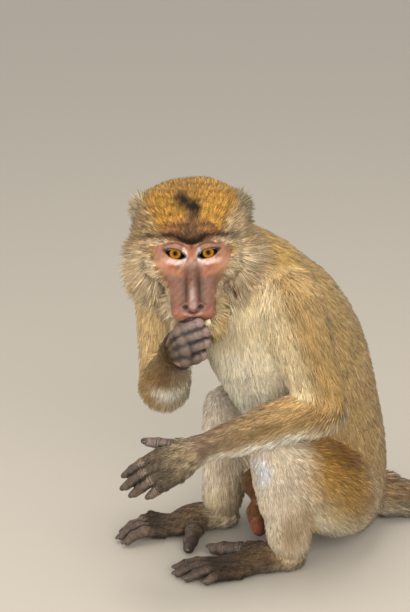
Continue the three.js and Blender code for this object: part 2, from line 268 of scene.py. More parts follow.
def claimed(p, weight):
    """The shares at points of the skin, with the fist's own surface given wholly to the hand, and the
    lips and the throat near it taken from the hand, by the distance to the fist's own shapes."""
    own = np.isin(NAMES, ("hand_right", "thumb_right", "forearm_right"))
    digits = digits_of("right", "hand")
    local = HAND["right"].local(p)
    reach = [chain(points, radii)[2](list(local.T)) for _, points, radii in digits]
    reach += [tendon(points)[2](list(local.T)) for _, points, _ in digits[:4]]
    reach.append(PALM["right"][2](list(local.T)))
    on = 1 - smooth(np.min(reach, 0), 1, 2.4)
    near = smooth(local[:, 1], 6, 16)
    near, on = near[:, None], on[:, None]
    weight = weight * np.where(own, 1 - near * (1 - on), 1 - near * on)
    return weight / np.maximum(weight.sum(1, keepdims=True), 1e-9)


def share_of(weight, *kinds):
    """The share of all the parts whose names start with one of these."""
    return sum(weight[:, i] for i, name in enumerate(NAMES) if name.startswith(kinds))


def mixed(weight, place, values):
    """A value of each part, given along it, mixed by the shares."""
    return sum(weight[:, i] * part.along(getattr(part, values), place[:, i])
               for i, part in enumerate(PARTS))


def smooth(x, low, high):
    """0 below low, 1 above high, and an s-curve between."""
    t = np.clip((x - low) / (high - low), 0, 1)
    return t * t * (3 - 2 * t)


# ---------------------------------------------------------------- signed distances


def egg(centre, radii, turned=(0, 0, 0)):
    """An ellipsoid: its distance is k0 (k0 - 1) / k1, where k0 is the length of p / radii and k1 the
    length of p / radii squared. Returned with its box."""
    centre, radii = np.asarray(centre, float), np.asarray(radii, float)
    axes = turn(0, turned[0]) @ turn(1, turned[1]) @ turn(2, turned[2])
    reach = np.sqrt((axes**2) @ radii**2)

    def distance(p):
        q = [sum((p[j] - centre[j]) * axes[j, k] for j in range(3)) for k in range(3)]
        k0 = np.sqrt(sum((q[k] / radii[k]) ** 2 for k in range(3)))
        k1 = np.sqrt(sum((q[k] / radii[k] ** 2) ** 2 for k in range(3)))
        return k0 * (k0 - 1) / np.maximum(k1, 1e-6)

    return centre - reach, centre + reach, distance


def chain(points, radii):
    """Round cones end to end: the distance to the nearest point of each leg less the radius there."""
    points, radii = np.asarray(points, float), np.asarray(radii, float) * np.ones(len(points))

    def distance(p):
        found = None
        for a, b, ra, rb in zip(points[:-1], points[1:], radii[:-1], radii[1:]):
            ab = b - a
            t = np.clip(sum((p[k] - a[k]) * ab[k] for k in range(3)) / (ab @ ab), 0, 1)
            d = np.sqrt(sum((p[k] - a[k] - t * ab[k]) ** 2 for k in range(3))) - (ra + t * (rb - ra))
            found = d if found is None else np.minimum(found, d)
        return found

    return (points - radii[:, None]).min(0), (points + radii[:, None]).max(0), distance


def almond(centre, width, height, tilt, reach):
    """A lens-shaped prism along y: where two equal circles in the x, z plane overlap. tilt in degrees."""
    rise = (width**2 + height**2) / (4 * height)
    c, s = np.cos(np.radians(tilt)), np.sin(np.radians(tilt))
    centre = np.asarray(centre, float)

    def distance(p):
        x, z = p[0] - centre[0], p[2] - centre[2]
        u, w = c * x + s * z, -s * x + c * z
        lens = np.hypot(u, np.abs(w) + rise - height / 2) - rise
        return np.maximum(lens, np.abs(p[1] - centre[1]) - reach)

    size = np.array([width / 2, reach, width / 2])
    return centre - size, centre + size, distance


class Field:
    """Samples of the signed distance to a surface, `step` mm apart, negative inside."""

    def __init__(self, low, values, step):
        self.low, self.values, self.step = np.asarray(low, int), values, step

    def patch(self, place, shape, spare):
        """The samples near a shape: their slices and their coordinates in the frame `place`."""
        low, high, _ = shape
        corners = np.array([[(low, high)[i][0], (low, high)[j][1], (low, high)[k][2]]
                            for i in (0, 1) for j in (0, 1) for k in (0, 1)])
        world = place.world(corners)
        first = np.maximum(np.floor((world.min(0) - spare) / self.step).astype(int) - self.low, 0)
        last = np.minimum(np.ceil((world.max(0) + spare) / self.step).astype(int) - self.low + 1,
                          self.values.shape)
        cut = tuple(slice(a, b) for a, b in zip(first, last))
        grid = [((np.arange(a, b) + self.low[k]) * self.step - place.at[k]).astype(np.float32)
                for k, (a, b) in enumerate(zip(first, last))]
        grid = [g.reshape([-1 if j == k else 1 for j in range(3)]) for k, g in enumerate(grid)]
        local = [sum(grid[j] * np.float32(place.axes[j, k]) for j in range(3)) for k in range(3)]
        return cut, local

    def add(self, place, shape, soft=1.0):
        """Joins a shape on with a fillet about `soft` mm wide."""
        cut, p = self.patch(place, shape, soft + 3 * self.step)
        old, new = self.values[cut], shape[2](p).astype(np.float32)
        near = np.maximum(soft - np.abs(old - new), 0) / soft
        self.values[cut] = np.minimum(old, new) - near**2 * soft / 4

    def carve(self, place, shape, soft=1.0):
        """Takes a shape away, rounding the edge by about `soft` mm."""
        cut, p = self.patch(place, shape, soft + 3 * self.step)
        old, new = self.values[cut], -shape[2](p).astype(np.float32)
        near = np.maximum(soft - np.abs(old - new), 0) / soft
        self.values[cut] = np.maximum(old, new) + near**2 * soft / 4


def softened(values, times):
    """A 1-2-1 average along each axis, `times` over."""
    for _ in range(times):
        for axis in range(3):
            padded = np.pad(values, [(1, 1) if k == axis else (0, 0) for k in range(3)], "edge")
            parts = [np.take(padded, range(i, i + values.shape[axis]), axis) for i in range(3)]
            values = (parts[0] + 2 * parts[1] + parts[2]) / 4
    return values


def finer(values, times):
    """The same samples `times` closer along each axis, by straight lines between them."""
    for axis in range(3):
        count = (values.shape[axis] - 1) * times + 1
        place = np.arange(count) / times
        first = np.minimum(place.astype(int), values.shape[axis] - 2)
        share = (place - first).astype(np.float32)
        share = share.reshape([-1 if k == axis else 1 for k in range(3)])
        values = np.take(values, first, axis) * (1 - share) + np.take(values, first + 1, axis) * share
    return values


# ---------------------------------------------------------------- skin

COARSE = 3  # mm between samples of the flesh under the coat
BAND = 30.0  # mm to each side of the surface that the coarse samples cover
FINE = 1  # mm between samples of the finished skin
JOINING = 2  # mm between samples where the solids are joined
CLOSING = 1.0  # mm that the joined solids grow by, which closes the cuts between them
MARGIN = 9  # mm of free space kept round the solids
DEEP = 8  # mm of coat stated where nothing is near, which no surface reaches
SOFTENING = 5  # times that the flesh is averaged
FLOOR_GAP = 0.4  # mm between the skin and the floor
OWN_SHAPES = ("eye", "ear", "hand", "foot")  # modelled finely instead of taken from the solids


def solid_mesh(solid):
    """A solid's vertices in mm and its triangles."""
    mesh = solid.data
    mesh.calc_loop_triangles()
    corners = numbers_of(mesh.loop_triangles, "vertices", 3, np.int32)
    return numbers_of(mesh.vertices, "co", 3) / MM, corners


def level_set(points, step, width, triangles=None, quads=None):
    """The signed distance to a closed mesh, `width` samples to each side, `step` mm apart."""
    return openvdb.FloatGrid.createLevelSetFromPolygons(
        points, triangles=triangles, quads=quads,
        transform=openvdb.createLinearTransform(step), halfWidth=width)


def flesh():
    """The solids as one smooth body, sunk by the depth of the coat: the distance to their outline,
    with the thin cuts between nodes closed, plus that depth."""
    points, triangles, count = [], [], 0
    for name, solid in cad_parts.items():
        if not name.startswith(OWN_SHAPES):
            at, corners = solid_mesh(solid)
            points.append(at)
            triangles.append(corners + count)
            count += len(at)
    joined = level_set(np.concatenate(points), JOINING, 3,
                       triangles=np.concatenate(triangles).astype(np.uint32))
    at, tris, quads = joined.convertToPolygons(CLOSING, 0.3)
    whole = level_set(at, COARSE, BAND / COARSE,
                      triangles=tris.astype(np.uint32), quads=quads.astype(np.uint32))
    every = np.concatenate([solid_mesh(solid)[0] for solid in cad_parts.values()])
    low = np.floor((every.min(0) - MARGIN) / COARSE).astype(int)
    high = np.ceil((every.max(0) + MARGIN) / COARSE).astype(int)
    values = np.empty(tuple(high - low + 1), np.float32)
    whole.copyToArray(values, ijk=tuple(int(v) for v in low))
    near = np.nonzero(np.abs(values) < BAND - 1)
    p = (np.stack(near, 1) + low) * float(COARSE)
    weight, place = shares(p)
    depth = np.full(values.shape, DEEP, np.float32)
    depth[near] = mixed(weight, place, "depth")
    values = softened(values + depth + CLOSING, SOFTENING)
    return Field(low * COARSE // FINE, finer(values, COARSE // FINE), FINE)


def add_face(skin):
    """The bare face: orbits, lids, nose and lips as joined and carved eggs and round cones."""
    skin.add(FACE, egg((0, -13, -4), (43, 23, 33)), 8)
    for s in (-1, 1):
        cheekbone = egg((s * 31, -3, -11), (13, 9, 10))
        snout = chain([(s * 13, -9, -20), (s * 13, -5, -40), (s * 11, -1.5, -57)], (14, 13.5, 11.5))
        skin.add(FACE, cheekbone, 8)
        skin.add(FACE, snout, 8)
    brow = [(-37, -3, 10), (-19, 12, 15), (0, 11, 13.5), (19, 12, 15), (37, -3, 10)]
    skin.add(FACE, chain(brow, (3.5, 6.5, 6, 6.5, 3.5)), 7)
    for s in (-1, 1):
        orbit = egg((s * 18.5, 13, 2.5), (12.5, 9, 8.5))
        skin.carve(FACE, orbit, 4)
    bridge = [(0, 6, 6), (0, 8, -8), (0, 9.5, -24), (0, 10, -38), (0, 11, -50)]
    skin.add(FACE, chain(bridge, (4.2, 4.8, 5.6, 6.3, 6.8)), 5)
    nose_tip = egg((0, 13.5, -56), (7, 5.5, 5.3))
    skin.add(FACE, nose_tip, 3)
    for s in (-1, 1):
        wing = egg((s * 7.9, 10.5, -55.6), (5, 5, 4.8))
        upper_lip = egg((s * 9, 3.5, -61.5), (13, 9, 7))
        skin.add(FACE, wing, 2.5)
        skin.add(FACE, upper_lip, 6)
    add_jaw(skin)
    for s in (-1, 1):
        add_lids(skin, s)
        nostril = [(s * 9, 14.5, -54.3), (s * 6.4, 17, -57.2), (s * 3.6, 17.3, -59.4)]
        skin.carve(FACE, chain(nostril, (2.2, 2.0, 1.3)), 0.8)
        furrow = [(s * 6.8, 15.5, -22), (s * 8.4, 15, -40), (s * 12.5, 12, -51)]
        skin.carve(FACE, chain(furrow, (0.9, 1.1, 0.9)), 3.5)
    cleft = chain([(0, 14, -61), (0, 12.5, -70)], (0.8, 1))
    skin.carve(FACE, cleft, 1.5)


def add_jaw(skin):
    """The lower jaw, the open mouth and the lower lip round it."""
    throat, chin = egg((0, -8, -62), (27, 28, 15)), egg((0, 14, -77), (18, 22, 9.5))
    mouth = egg((0, 26, -67), (19, 21, 6.5), (-16, 0, 0))
    skin.add(HEAD, throat, 8)
    skin.add(HEAD, chin, 6)
    skin.carve(HEAD, mouth, 1.5)
    rim = [(-21.5, 12, -68.5), (-18, 25, -75.5), (0, 32, -79), (17, 24, -74), (19.5, 9, -67.5)]
    skin.add(HEAD, chain(rim, (3.4, 4.0, 3.8, 3.4, 3.0)), 2)


def add_lids(skin, s):
    """The lids: a ball over the eye with an almond cut through, and a fold above and a bag below."""
    eye = (s * 17, 0, 0)
    fold = [(s * 7, 9, 5.5), (s * 17, 10, 8.8), (s * 28, 4.5, 7)]
    bag = [(s * 9, 8.5, -8), (s * 17, 9.5, -10.5), (s * 27, 4.5, -7.5)]
    opening = almond((s * 16.6, 10, -0.8), 21, 8.6, s * 15, 10)
    skin.add(FACE, egg(eye, [EYE_RADIUS + 1.5] * 3), 3)
    skin.add(FACE, chain(fold, (1.4, 2.2, 1.8)), 2.5)
    skin.add(FACE, chain(bag, (2.2, 2.8, 2.2)), 3)
    skin.carve(FACE, opening, 0.6)
    skin.carve(FACE, egg(eye, [EYE_RADIUS + 0.15] * 3), 0.3)


def add_ear(skin, side):
    """A thin cup, upright on the side of the head, with its hollow turned out and forward."""
    s = SIDES[side]
    turned = (-8, s * -10, s * 58)
    skin.add(HEAD, egg((-s * 50.5, -50, 22), (10.5, 4.4, 15), turned), 3)
    skin.carve(HEAD, egg((-s * 54.4, -47.4, 22.5), (7.8, 4, 11.5), turned), 1.5)


def digits_of(side, limb):
    """The digits of a hand or foot, as (frame, points, radii), the thumb or big toe last. Their bases
    are DIGIT_GAP apart, in a shallow arc that falls back towards the smallest."""
    s = SIDES[side]
    found = []
    if limb == "hand":
        pose, place = HAND_POSE[side], HAND[side]
        for i, lengths in enumerate(FINGER_LENGTHS):
            base = (s * (13 - DIGIT_GAP * i), 34 - 1.7 * abs(i - 1) * i, 1)
            heading = s * pose["spread"] * (1.3 - i)
            bends = [b + pose["curl"] * (i - 1) for b in pose["bends"]]
            found.append((digit_points(base, heading, lengths, bends), FINGER_RADII))
        found.append((digit_points(**pose["thumb"]), THUMB_RADII))
    else:
        pose, place = FOOT_POSE[side], FOOT[side]
        for i, lengths in enumerate(TOE_LENGTHS):
            base = (s * (13.5 - DIGIT_GAP * i), 88 - 2.4 * abs(i - 1) * i, 8)
            heading = s * pose["spread"] * (1.4 - i)
            joints = digit_points(base, heading, lengths, pose["bends"], pose["lift"])
            found.append((joints, FINGER_RADII))
        found.append((digit_points(**pose["hallux"]), BIG_TOE_RADII))
    return [(place, points, np.asarray(radii, float)) for points, radii in found]


SLIM = 0.92  # a digit's radius between its knuckles, over that at them
CREASES = (-2.6, 0.2, 3.0)  # mm along the digit from the knuckle to each crease over it
CREASE_ANGLES = (-80, -40, 0, 40, 80)  # degrees round the digit from its top


def add_digit(skin, place, points, radii):
    """A digit: tapered round cones with a swelling at each knuckle, and creases round the knuckles."""
    slim = radii * SLIM
    skin.add(place, chain(points[:2], slim[:2]), 1.2)
    skin.add(place, chain(points[1:], slim[1:]), 0.5)
    for p, r in zip(points[1:-1], radii[1:-1]):
        skin.add(place, egg(p + (0, 0, 0.05 * r), (r, r, r)), 1)
    for before, p, after, r in zip(points[:-2], points[1:-1], points[2:], radii[1:-1]):
        way = unit(unit(after - p) + unit(p - before))
        side = unit(np.cross(way, UP) + (1e-6, 0, 0))
        top = np.cross(side, way)
        for shift in CREASES:
            ring = [p + shift * way + (r + 0.35) * (np.cos(a) * top + np.sin(a) * side)
                    for a in np.radians(CREASE_ANGLES)]
            skin.carve(place, chain(ring, (0.2, 0.7, 0.75, 0.7, 0.2)), 0.8)


PALM = {"left": egg((-1, 23, -0.5), (19.5, 25, 10.5)), "right": egg((1, 17, -0.5), (19.5, 22, 10.5))}


def tendon(points):
    """The ridge over the back of the hand to a finger's base, from the finger's joints."""
    base = points[0]
    return chain([(0.45 * base[0], 8, 7), base + (0, -4, 4.5), base], (2.2, 4, 6.5))


def add_hand(skin, side):
    """The wrist, the palm, the tendons over its back and the digits."""
    place = HAND[side]
    skin.add(place, egg((0, 0, 0), (14, 18, 11)), 6)
    skin.add(place, PALM[side], 5)
    for _, points, _ in digits_of(side, "hand")[:4]:
        skin.add(place, tendon(points), 2.5)
    for digit in digits_of(side, "hand"):
        add_digit(skin, *digit)


def add_foot(skin, side):
    """The heel, the arch and the ball of the foot, and the digits."""
    place = FOOT[side]
    skin.add(place, egg((0, 13, 15), (15, 18, 15)), 6)
    skin.add(place, egg((0, 40, 15), (17, 36, 15)), 6)
    skin.add(place, egg((0, 74, 9.5), (20, 30, 9.5)), 5)
    for digit in digits_of(side, "foot"):
        add_digit(skin, *digit)


def add_scrotum(skin):
    """A neck under the belly and two lobes, with a furrow between them."""
    skin.add(WORLD, egg((-14, -104, 72), (15, 13, 18)), 6)
    for x, y, z in ((-9, -109, 36), (4, -112, 28)):
        skin.add(WORLD, egg((x, y, z), (7.5, 9, 13)), 3)
    skin.carve(WORLD, chain([(-2, -122, 48), (-3, -122, 20)], (1.5, 1.5)), 4)


def relief(skin, points):
    """How far each point stands out (above 0) or lies in a crease (below 0), in mm: the distance field
    there once it is averaged over about 2 mm. It is found on the face, hands and feet."""
    boxes = [(FACE, (-48, -30, -92), (48, 30, 34))]
    for side in SIDES:
        boxes += [(HAND[side], (-26, -16, -42), (26, 92, 20)), (FOOT[side], (-34, -8, -8), (34, 146, 38))]
    stands = np.zeros(len(points), np.float32)
    nearest = np.rint(points / skin.step).astype(int) - skin.low
    for place, low, high in boxes:
        cut, _ = skin.patch(place, (np.array(low), np.array(high), None), 0)
        own = skin.values[cut]
        change = softened(own, 6) - own
        sample = nearest - np.array([c.start for c in cut])
        inside = np.all((sample >= 0) & (sample < own.shape), 1)
        stands[inside] = change[tuple(sample[inside].T)]
    return stands


def skin_shape():
    """The whole skin's vertices in mm, with its triangles and quads, and its relief."""
    skin = flesh()
    add_face(skin)
    add_scrotum(skin)
    for side in SIDES:
        add_ear(skin, side)
        add_hand(skin, side)
        add_foot(skin, side)
    height = (np.arange(skin.values.shape[2]) + skin.low[2]) * skin.step
    skin.values = np.maximum(skin.values, FLOOR_GAP - height.astype(np.float32))
    band = 3.0 * FINE
    grid = openvdb.FloatGrid(band)
    grid.transform = openvdb.createLinearTransform(FINE)
    grid.gridClass = openvdb.GridClass.LEVEL_SET
    grid.copyFromArray(np.clip(skin.values, -band, band), ijk=tuple(int(v) for v in skin.low))
    points, triangles, quads = grid.convertToPolygons(0.0, 0.03)
    return points, triangles[:, ::-1], quads[:, ::-1], relief(skin, points)


# ---------------------------------------------------------------- markings


def linear(code):
    """An sRGB hex colour as linear red, green and blue."""
    value = np.array([int(code[i:i + 2], 16) for i in (1, 3, 5)]) / 255
    return np.where(value <= 0.04045, value / 12.92, ((value + 0.055) / 1.055) ** 2.4)


def waves(p, size, seed, count=3):
    """A smooth random field from -1 to 1: the mean of `count` sine waves, about `size` mm long, in
    random directions."""
    own = np.random.default_rng(seed)
    total = 0
    for _ in range(count):
        way = unit(own.normal(size=3)) * 2 * np.pi / (size * own.uniform(0.7, 1.3))
        total = total + np.sin(p @ way + own.uniform(0, 2 * np.pi))
    return total / count


# For each kind of part: the coat's colours along it on the outer side and on the inner side, which
# is the same where there is none, and the way that the outer side faces.
LOOKS = {
    "trunk": (("#a3875e", "#a68b61", "#aa8f62", "#a58b5a"), ("#fbf8f3", "#fbf8f3", "#ebe2d0", "#dccca9"),
              (0.42, 0.9, 0.1)),
    "scrotum": (("#664830", "#744a34", "#a6604e"), ("#5f442c", "#5f3f2c", "#8f5546"), (0, -1, 0)),
    "neck": (("#a98a54", "#a68850"), ("#dccdae", "#cbb993"), (0.2, 0.9, 0.4)),
    "skull": (("#9a773d", "#a8803b", "#8a613e"), (), UP),
    "muzzle": (("#9c7a60",), (), UP),
    "jaw": (("#d6c6a8", "#d8c8aa"), (), UP),
    "tail": (("#7a6348", "#5f4f3d", "#524638"), ("#988a72", "#867762"), UP),
    "cheek": (("#937a53", "#9d8562", "#a48c6d", "#ad9a7b"), (), UP),
    "ear": (("#c0b6a6",), ("#8a8078",), UP),
    "upper_arm_right": (("#c4a97c", "#c4a97c", "#9c7c46"), ("#d8c6a4", "#cdb890"), (0.56, -0.83, 0.28)),
    "upper_arm": (("#a68a5e", "#a38656", "#a18252"), ("#cdbb97", "#cdbb97"), (0.5, 0.75, 0.4)),
    "forearm_right": (("#b89f70", "#8a6c36", "#5f4624"), ("#dccdb0", "#c4ae84", "#6f5430"),
                      (0.06, -0.9, 0.4)),
    "forearm": (("#9c8054", "#8f7650", "#746250"), ("#dccfb2", "#eee4d2", "#c8bca4"), (0.4, -0.1, 0.9)),
    "hand_right": (("#4d3a22", "#2e251f", "#3f332f", "#3f332f"),
                   ("#4d3a22", "#2e251f", "#3f332f", "#382f2a"), UP),
    "hand": (("#8a7a60", "#514639", "#29211a"), ("#29211a",), UP),
    "thumb": (("#3a302b",), ("#332a26",), UP),
    "toe": (("#30261f",), ("#2a211c",), UP),
    "thigh": (("#b09c7c", "#a88a54", "#96733a", "#a58a56"), ("#d8c8a8", "#dccdb0", "#e2d5bd", "#e9e0d2"),
              (0.35, 0.55, 0.75)),
    "shin": (("#e8dfd0", "#dfd3be", "#bfae90"), ("#d8c6a2", "#cdb994", "#a8957a"), (0.3, -0.9, 0.2)),
    "foot_left": (("#998261", "#503f2a", "#35291e", "#221913"), ("#8a7a64", "#2b221a", "#241c16"), UP),
    "foot": (("#b8a789", "#66543f", "#41352a", "#2b221b"), ("#a0907a", "#33291f", "#2c231c"), UP),
}


def look_of(name):
    """The looks of the first kind that starts the part's name."""
    return LOOKS[next(kind for kind in LOOKS if name.startswith(kind))]


def along_part(codes, share):
    """The colour at each share of a part's length, between its colours, which are evenly spaced."""
    table = np.array([linear(code) for code in codes])
    stops = np.linspace(0, 1, len(table))
    return np.stack([np.interp(share, stops, table[:, k]) for k in range(3)], 1)


def body_tone(n, weight, place):
    """Each part's own colour at points with normals n: outer and inner side mixed by how far the
    normal turns towards the outer side, and the parts mixed by their shares. Both flanks are alike."""
    tone = np.zeros((len(n), 3))
    for i, part in enumerate(PARTS):
        outer, inner, way = look_of(part.name)
        way = unit(way)
        if part.name.endswith("right"):
            way = way * (-1, 1, 1)
        if part.name.startswith("hand"):
            way = HAND[part.name[5:]].axes[:, 2]
        facing = n * way
        if part.name in ("trunk", "neck"):
            facing[:, 0] = np.abs(facing[:, 0])
        turned_out = smooth(facing.sum(1), -0.45, 0.45)[:, None]
        share = place[:, i] / (len(part.at) - 1)
        sides = [along_part(codes, share) for codes in (outer, inner or outer)]
        tone += weight[:, i:i + 1] * (sides[0] * turned_out + sides[1] * (1 - turned_out))
    return tone


def laid(tone, code, amount):
    """A colour laid over tone by amount, 0 to 1 at each point."""
    return tone + np.clip(amount, 0, 1)[:, None] * (linear(code) - tone)


def spot(f, centre, radii, soft=0.5):
    """1 inside an ellipse of the face's x and z, falling to 0 at (1 + soft) times its size."""
    away = np.hypot((f[:, 0] - centre[0]) / radii[0], (f[:, 2] - centre[1]) / radii[1])
    return 1 - smooth(away, 1 - soft, 1 + soft)


def pair(f, centre, radii, soft=0.5, tilt=0):
    """The same spot on both sides of the face, its outer end lifted by tilt (mm per mm)."""
    x = np.abs(f[:, 0])
    return spot(np.stack([x, x, f[:, 2] - tilt * (x - centre[0])], 1), centre, radii, soft)


def marked(tone, f, marks, share=1):
    """Lays marks over tone in their order. Each is spot or pair, a colour, its strength and the spot's
    own numbers."""
    for kind, code, strength, *numbers in marks:
        tone = laid(tone, code, strength * share * kind(f, *numbers))
    return tone


# The outline of the bare face: its half width at each height.
FACE_HEIGHTS = (-90, -66, -44, -32, -20, -10, 0, 7, 12)
FACE_WIDTHS = (26, 28, 25, 27, 33, 39, 42, 41, 30)


def past_face(f):
    """How far in mm a point lies outside the outline of the bare face, to the side. f is in the face's
    frame."""
    return np.abs(f[:, 0]) - np.interp(f[:, 2], FACE_HEIGHTS, FACE_WIDTHS)


def bare_face(f):
    """1 on the bare skin of the face, 0 in the coat. The coat reaches in under the brow, behind the
    cheeks and at the right corner of the mouth."""
    edge = 1.5 * waves(f, 9, 5) + 1.5 * waves(f, 3, 6, 5) - past_face(f)
    top = np.interp(np.abs(f[:, 0]), (0, 8, 20, 44), (8, 11, 13, 8)) - f[:, 2]
    deep = f[:, 1] + 22 * smooth(-f[:, 2], 58, 66)
    corner = smooth(f[:, 0], 6, 12) * smooth(-f[:, 2], 65, 69)
    return smooth(edge, -2, 4.5) * smooth(top, -1, 2) * smooth(deep, -24, -16) * (1 - corner)


def bareness(p, weight):
    """How bare the skin is: 1 on the face, palms and soles, nearly 1 on fingers and toes, and less on
    the scrotum."""
    bare = bare_face(FACE.local(p)) * smooth(share_of(weight, *HEAD_PARTS), 0.3, 0.6)
    for side in SIDES:
        for limb, place_of, start, end in (("hand", HAND, 40, 56), ("foot", FOOT, 92, 108)):
            own = share_of(weight, f"{limb}_{side}")
            q = place_of[side].local(p)
            under = smooth(-q[:, 2], 1, 5) if limb == "hand" else smooth(-q[:, 2], -6, -3)
            fingers = 0.8 * smooth(q[:, 1], start, end)
            if limb == "hand" and side == "right":
                fingers = 0.95 * smooth(q[:, 1], 4, 16)
            bare = np.maximum(bare, smooth(own, 0.3, 0.8) * np.maximum(under, fingers))
    bare = np.maximum(bare, 0.95 * smooth(share_of(weight, "thumb", "toe"), 0.4, 0.7))
    low = 1 - smooth(p[:, 2], 10, 26)
    return np.maximum(bare, 0.45 * smooth(share_of(weight, "scrotum"), 0.4, 0.7) * low)


TEMPLE_MARKS = (
    (spot, "#a3967c", 0.8, (53, 49), (8, 15), 0.3),
    (spot, "#94876c", 0.9, (-53, 47), (8, 14), 0.3),
    (spot, "#c4ae8a", 0.7, (-42, 22), (9, 13), 0.6),
    (spot, "#3f3a34", 1, (-52, 60), (4, 4), 0.5),
)
CROWN_MARKS = (
    (spot, "#150b02", 1.6, (8, 52), (5.5, 7.5), 0.7),
    (spot, "#150b02", 1.6, (-1.5, 42), (6.5, 8.5), 0.6),
    (spot, "#7a5c42", 0.8, (1.2, 34), (1.8, 6), 0.7),
)


def head_tone(tone, f, head, ear):
    """The markings of the head's coat, laid on its front by its share `head`: a golden crown with a
    dark mark, pale temples, ears and cheeks, a dark line along the brow with pale hairs under it, and
    a painted shadow in a crease of one cheek. `ear` is the ears' own share, which stays pale."""
    x, z = np.abs(f[:, 0]), f[:, 2]
    crown = head - ear
    head = head * smooth(f[:, 1], -58, -38)
    golden = crown * smooth(z, 30, 42) * smooth(x, 30, 40) * (1 - smooth(x, 56, 62))
    tone = laid(tone, "#a07a36", golden)
    cap = np.interp(z, (8, 22, 40, 58, 70), (20, 28, 36, 46, 60))
    temple = 0.9 * head * smooth(x - cap, -3, 6) * smooth(z, 8, 16) * (1 - smooth(z, 50, 64))
    tone = laid(tone, "#a18864", temple)
    tone = marked(tone, f, TEMPLE_MARKS, head)
    past = past_face(f)
    ruff = head * smooth(past, -4, 1) * (1 - smooth(past, 18, 32)) * smooth(-z, -12, 0)
    tone = laid(tone, "#b8a587", ruff)
    tone = laid(tone, "#6b4a1c", 0.35 * head * spot(f, (3, 62), (22, 14), 0.8))
    parting = np.exp(-((f[:, 0] / 8) ** 2)) * smooth(z, 10, 16) * (1 - smooth(z, 26, 38))
    tone = laid(tone, "#5f4a38", 0.7 * head * parting)
    tone = marked(tone, f, CROWN_MARKS, head)
    line = 9 + 7 * smooth(x, 2, 16) + 0.5 * smooth(x, 24, 42)
    width = 2.3 + 3.5 * (1 - smooth(x, 4, 14))
    brow = head * np.exp(-(((z - line) / width) ** 2)) * (1 - smooth(x, 40, 52))
    tone = laid(tone, "#150b05", brow)
    pale = np.exp(-(((z - line + 6) / 3.2) ** 2)) * smooth(x, 14, 22) * (1 - smooth(x, 40, 50))
    tone = laid(tone, "#c4b09a", 0.6 * head * pale)
    # A painted shadow in a crease of the animal's left cheek.
    sloped = np.stack([f[:, 0], x, z + 0.4 * (f[:, 0] + 42)], 1)
    return laid(tone, "#4d3418", head * spot(sloped, (-42, -27), (8, 2.8), 0.6))


EYE_MARKS = (
    # the pale bags under the eyes, and the rust below them
    (pair, "#c09f96", 0.95, (17.5, -9.5), (11.5, 3.6), 0.7, 0.15),
    (pair, "#915535", 0.75, (15, -18), (15, 4.5), 0.8, 0.5),
)
NOSE_MARKS = (
    # the lids, the white at their inner ends, and the nose from its bridge to its tip, with painted
    # highlights down its ridge and on its tip and painted shade in the furrows beside it
    (pair, "#8a6554", 0.9, (19, 9), (13, 4), 0.7, 0.1),
    (pair, "#dfd4d4", 1, (7.4, -1.5), (2.6, 6.5), 0.5),
    (spot, "#8a4427", 1, (0, 1), (2.4, 9), 0.6),
    # a painted highlight on the bridge between the eyes
    (spot, "#a08074", 0.5, (0, -10), (3, 5), 0.6),
    # painted shade in the furrows beside the bridge
    (pair, "#452d24", 0.6, (6, -26), (4, 15), 0.8),
    (spot, "#523629", 0.9, (0, -22), (5, 11), 0.7),
    # a painted highlight lower on the ridge
    (spot, "#8a7672", 0.8, (0.5, -44), (2.4, 9), 0.7),
    # painted shade lower in the furrows
    (pair, "#37221b", 0.35, (7, -40), (2, 12), 0.8),
    # a painted highlight on the nose's tip
    (spot, "#7b6460", 0.8, (0, -53), (3.6, 6), 0.6),
    (pair, "#845243", 0.4, (14, -58), (9, 8), 0.7),
)
NOSTRIL_MARKS = (
    # the pale edge of the lip, painted shade under the nose, and the nostrils painted dark as the
    # shade in them
    (pair, "#b89a92", 0.6, (6, -63), (5, 1.3), 0.7, 0.25),
    (pair, "#4a2c2a", 1, (5, -59.2), (4.2, 1.7), 0.6, 0.6),
    (pair, "#1c0f0d", 1, (8.2, -55.4), (3, 2.4), 0.5),
)


def face_tone(tone, f, bare):
    """The colours of the bare face, laid on where it is bare: brown-mauve on the muzzle and pinker
    above and on the lips, with marks round the eyes and nose, dark rims to the lids, and a fine grain.
    The nose's marks include painted highlights down its ridge and on its tip, and painted shade in
    its furrows, under it and in the nostrils."""
    x, y, z = np.abs(f[:, 0]), f[:, 1], f[:, 2]
    skin = laid(np.zeros((len(f), 3)), "#664535", np.ones(len(f)))
    skin = laid(skin, "#8b6349", smooth(z, -30, -14))
    skin = marked(skin, f, EYE_MARKS)
    skin = laid(skin, "#8e6149", 0.8 * smooth(x, 28, 34) * smooth(z, -14, -4))
    skin = marked(skin, f, NOSE_MARKS)
    skin = laid(skin, "#86503e", 0.8 * smooth(-z, 59, 64))
    skin = laid(skin, "#b5705e", 0.9 * smooth(-z, 68, 72))
    skin = marked(skin, f, NOSTRIL_MARKS)
    rim = np.hypot((x - 16.6) * 0.92, (z + 0.2 - 0.27 * (x - 16.6)) * 2.0)
    skin = laid(skin, "#120b09", np.exp(-(((rim - 9.4) / 1.6) ** 2)) * (y > 0))
    skin = laid(skin, "#120b09", pair(f, (26.3, 2.9), (3.6, 2), 0.6, 0.35))
    grain = 1 + 0.14 * waves(f, 5, 8)[:, None] + 0.36 * waves(f * (1, 1, 0.4), 2.4, 9, 6)[:, None]
    grain = grain + 0.14 * waves(f, 4, 10)[:, None] * (1, -0.3, -0.8)
    return tone + bare[:, None] * (skin * grain - tone)


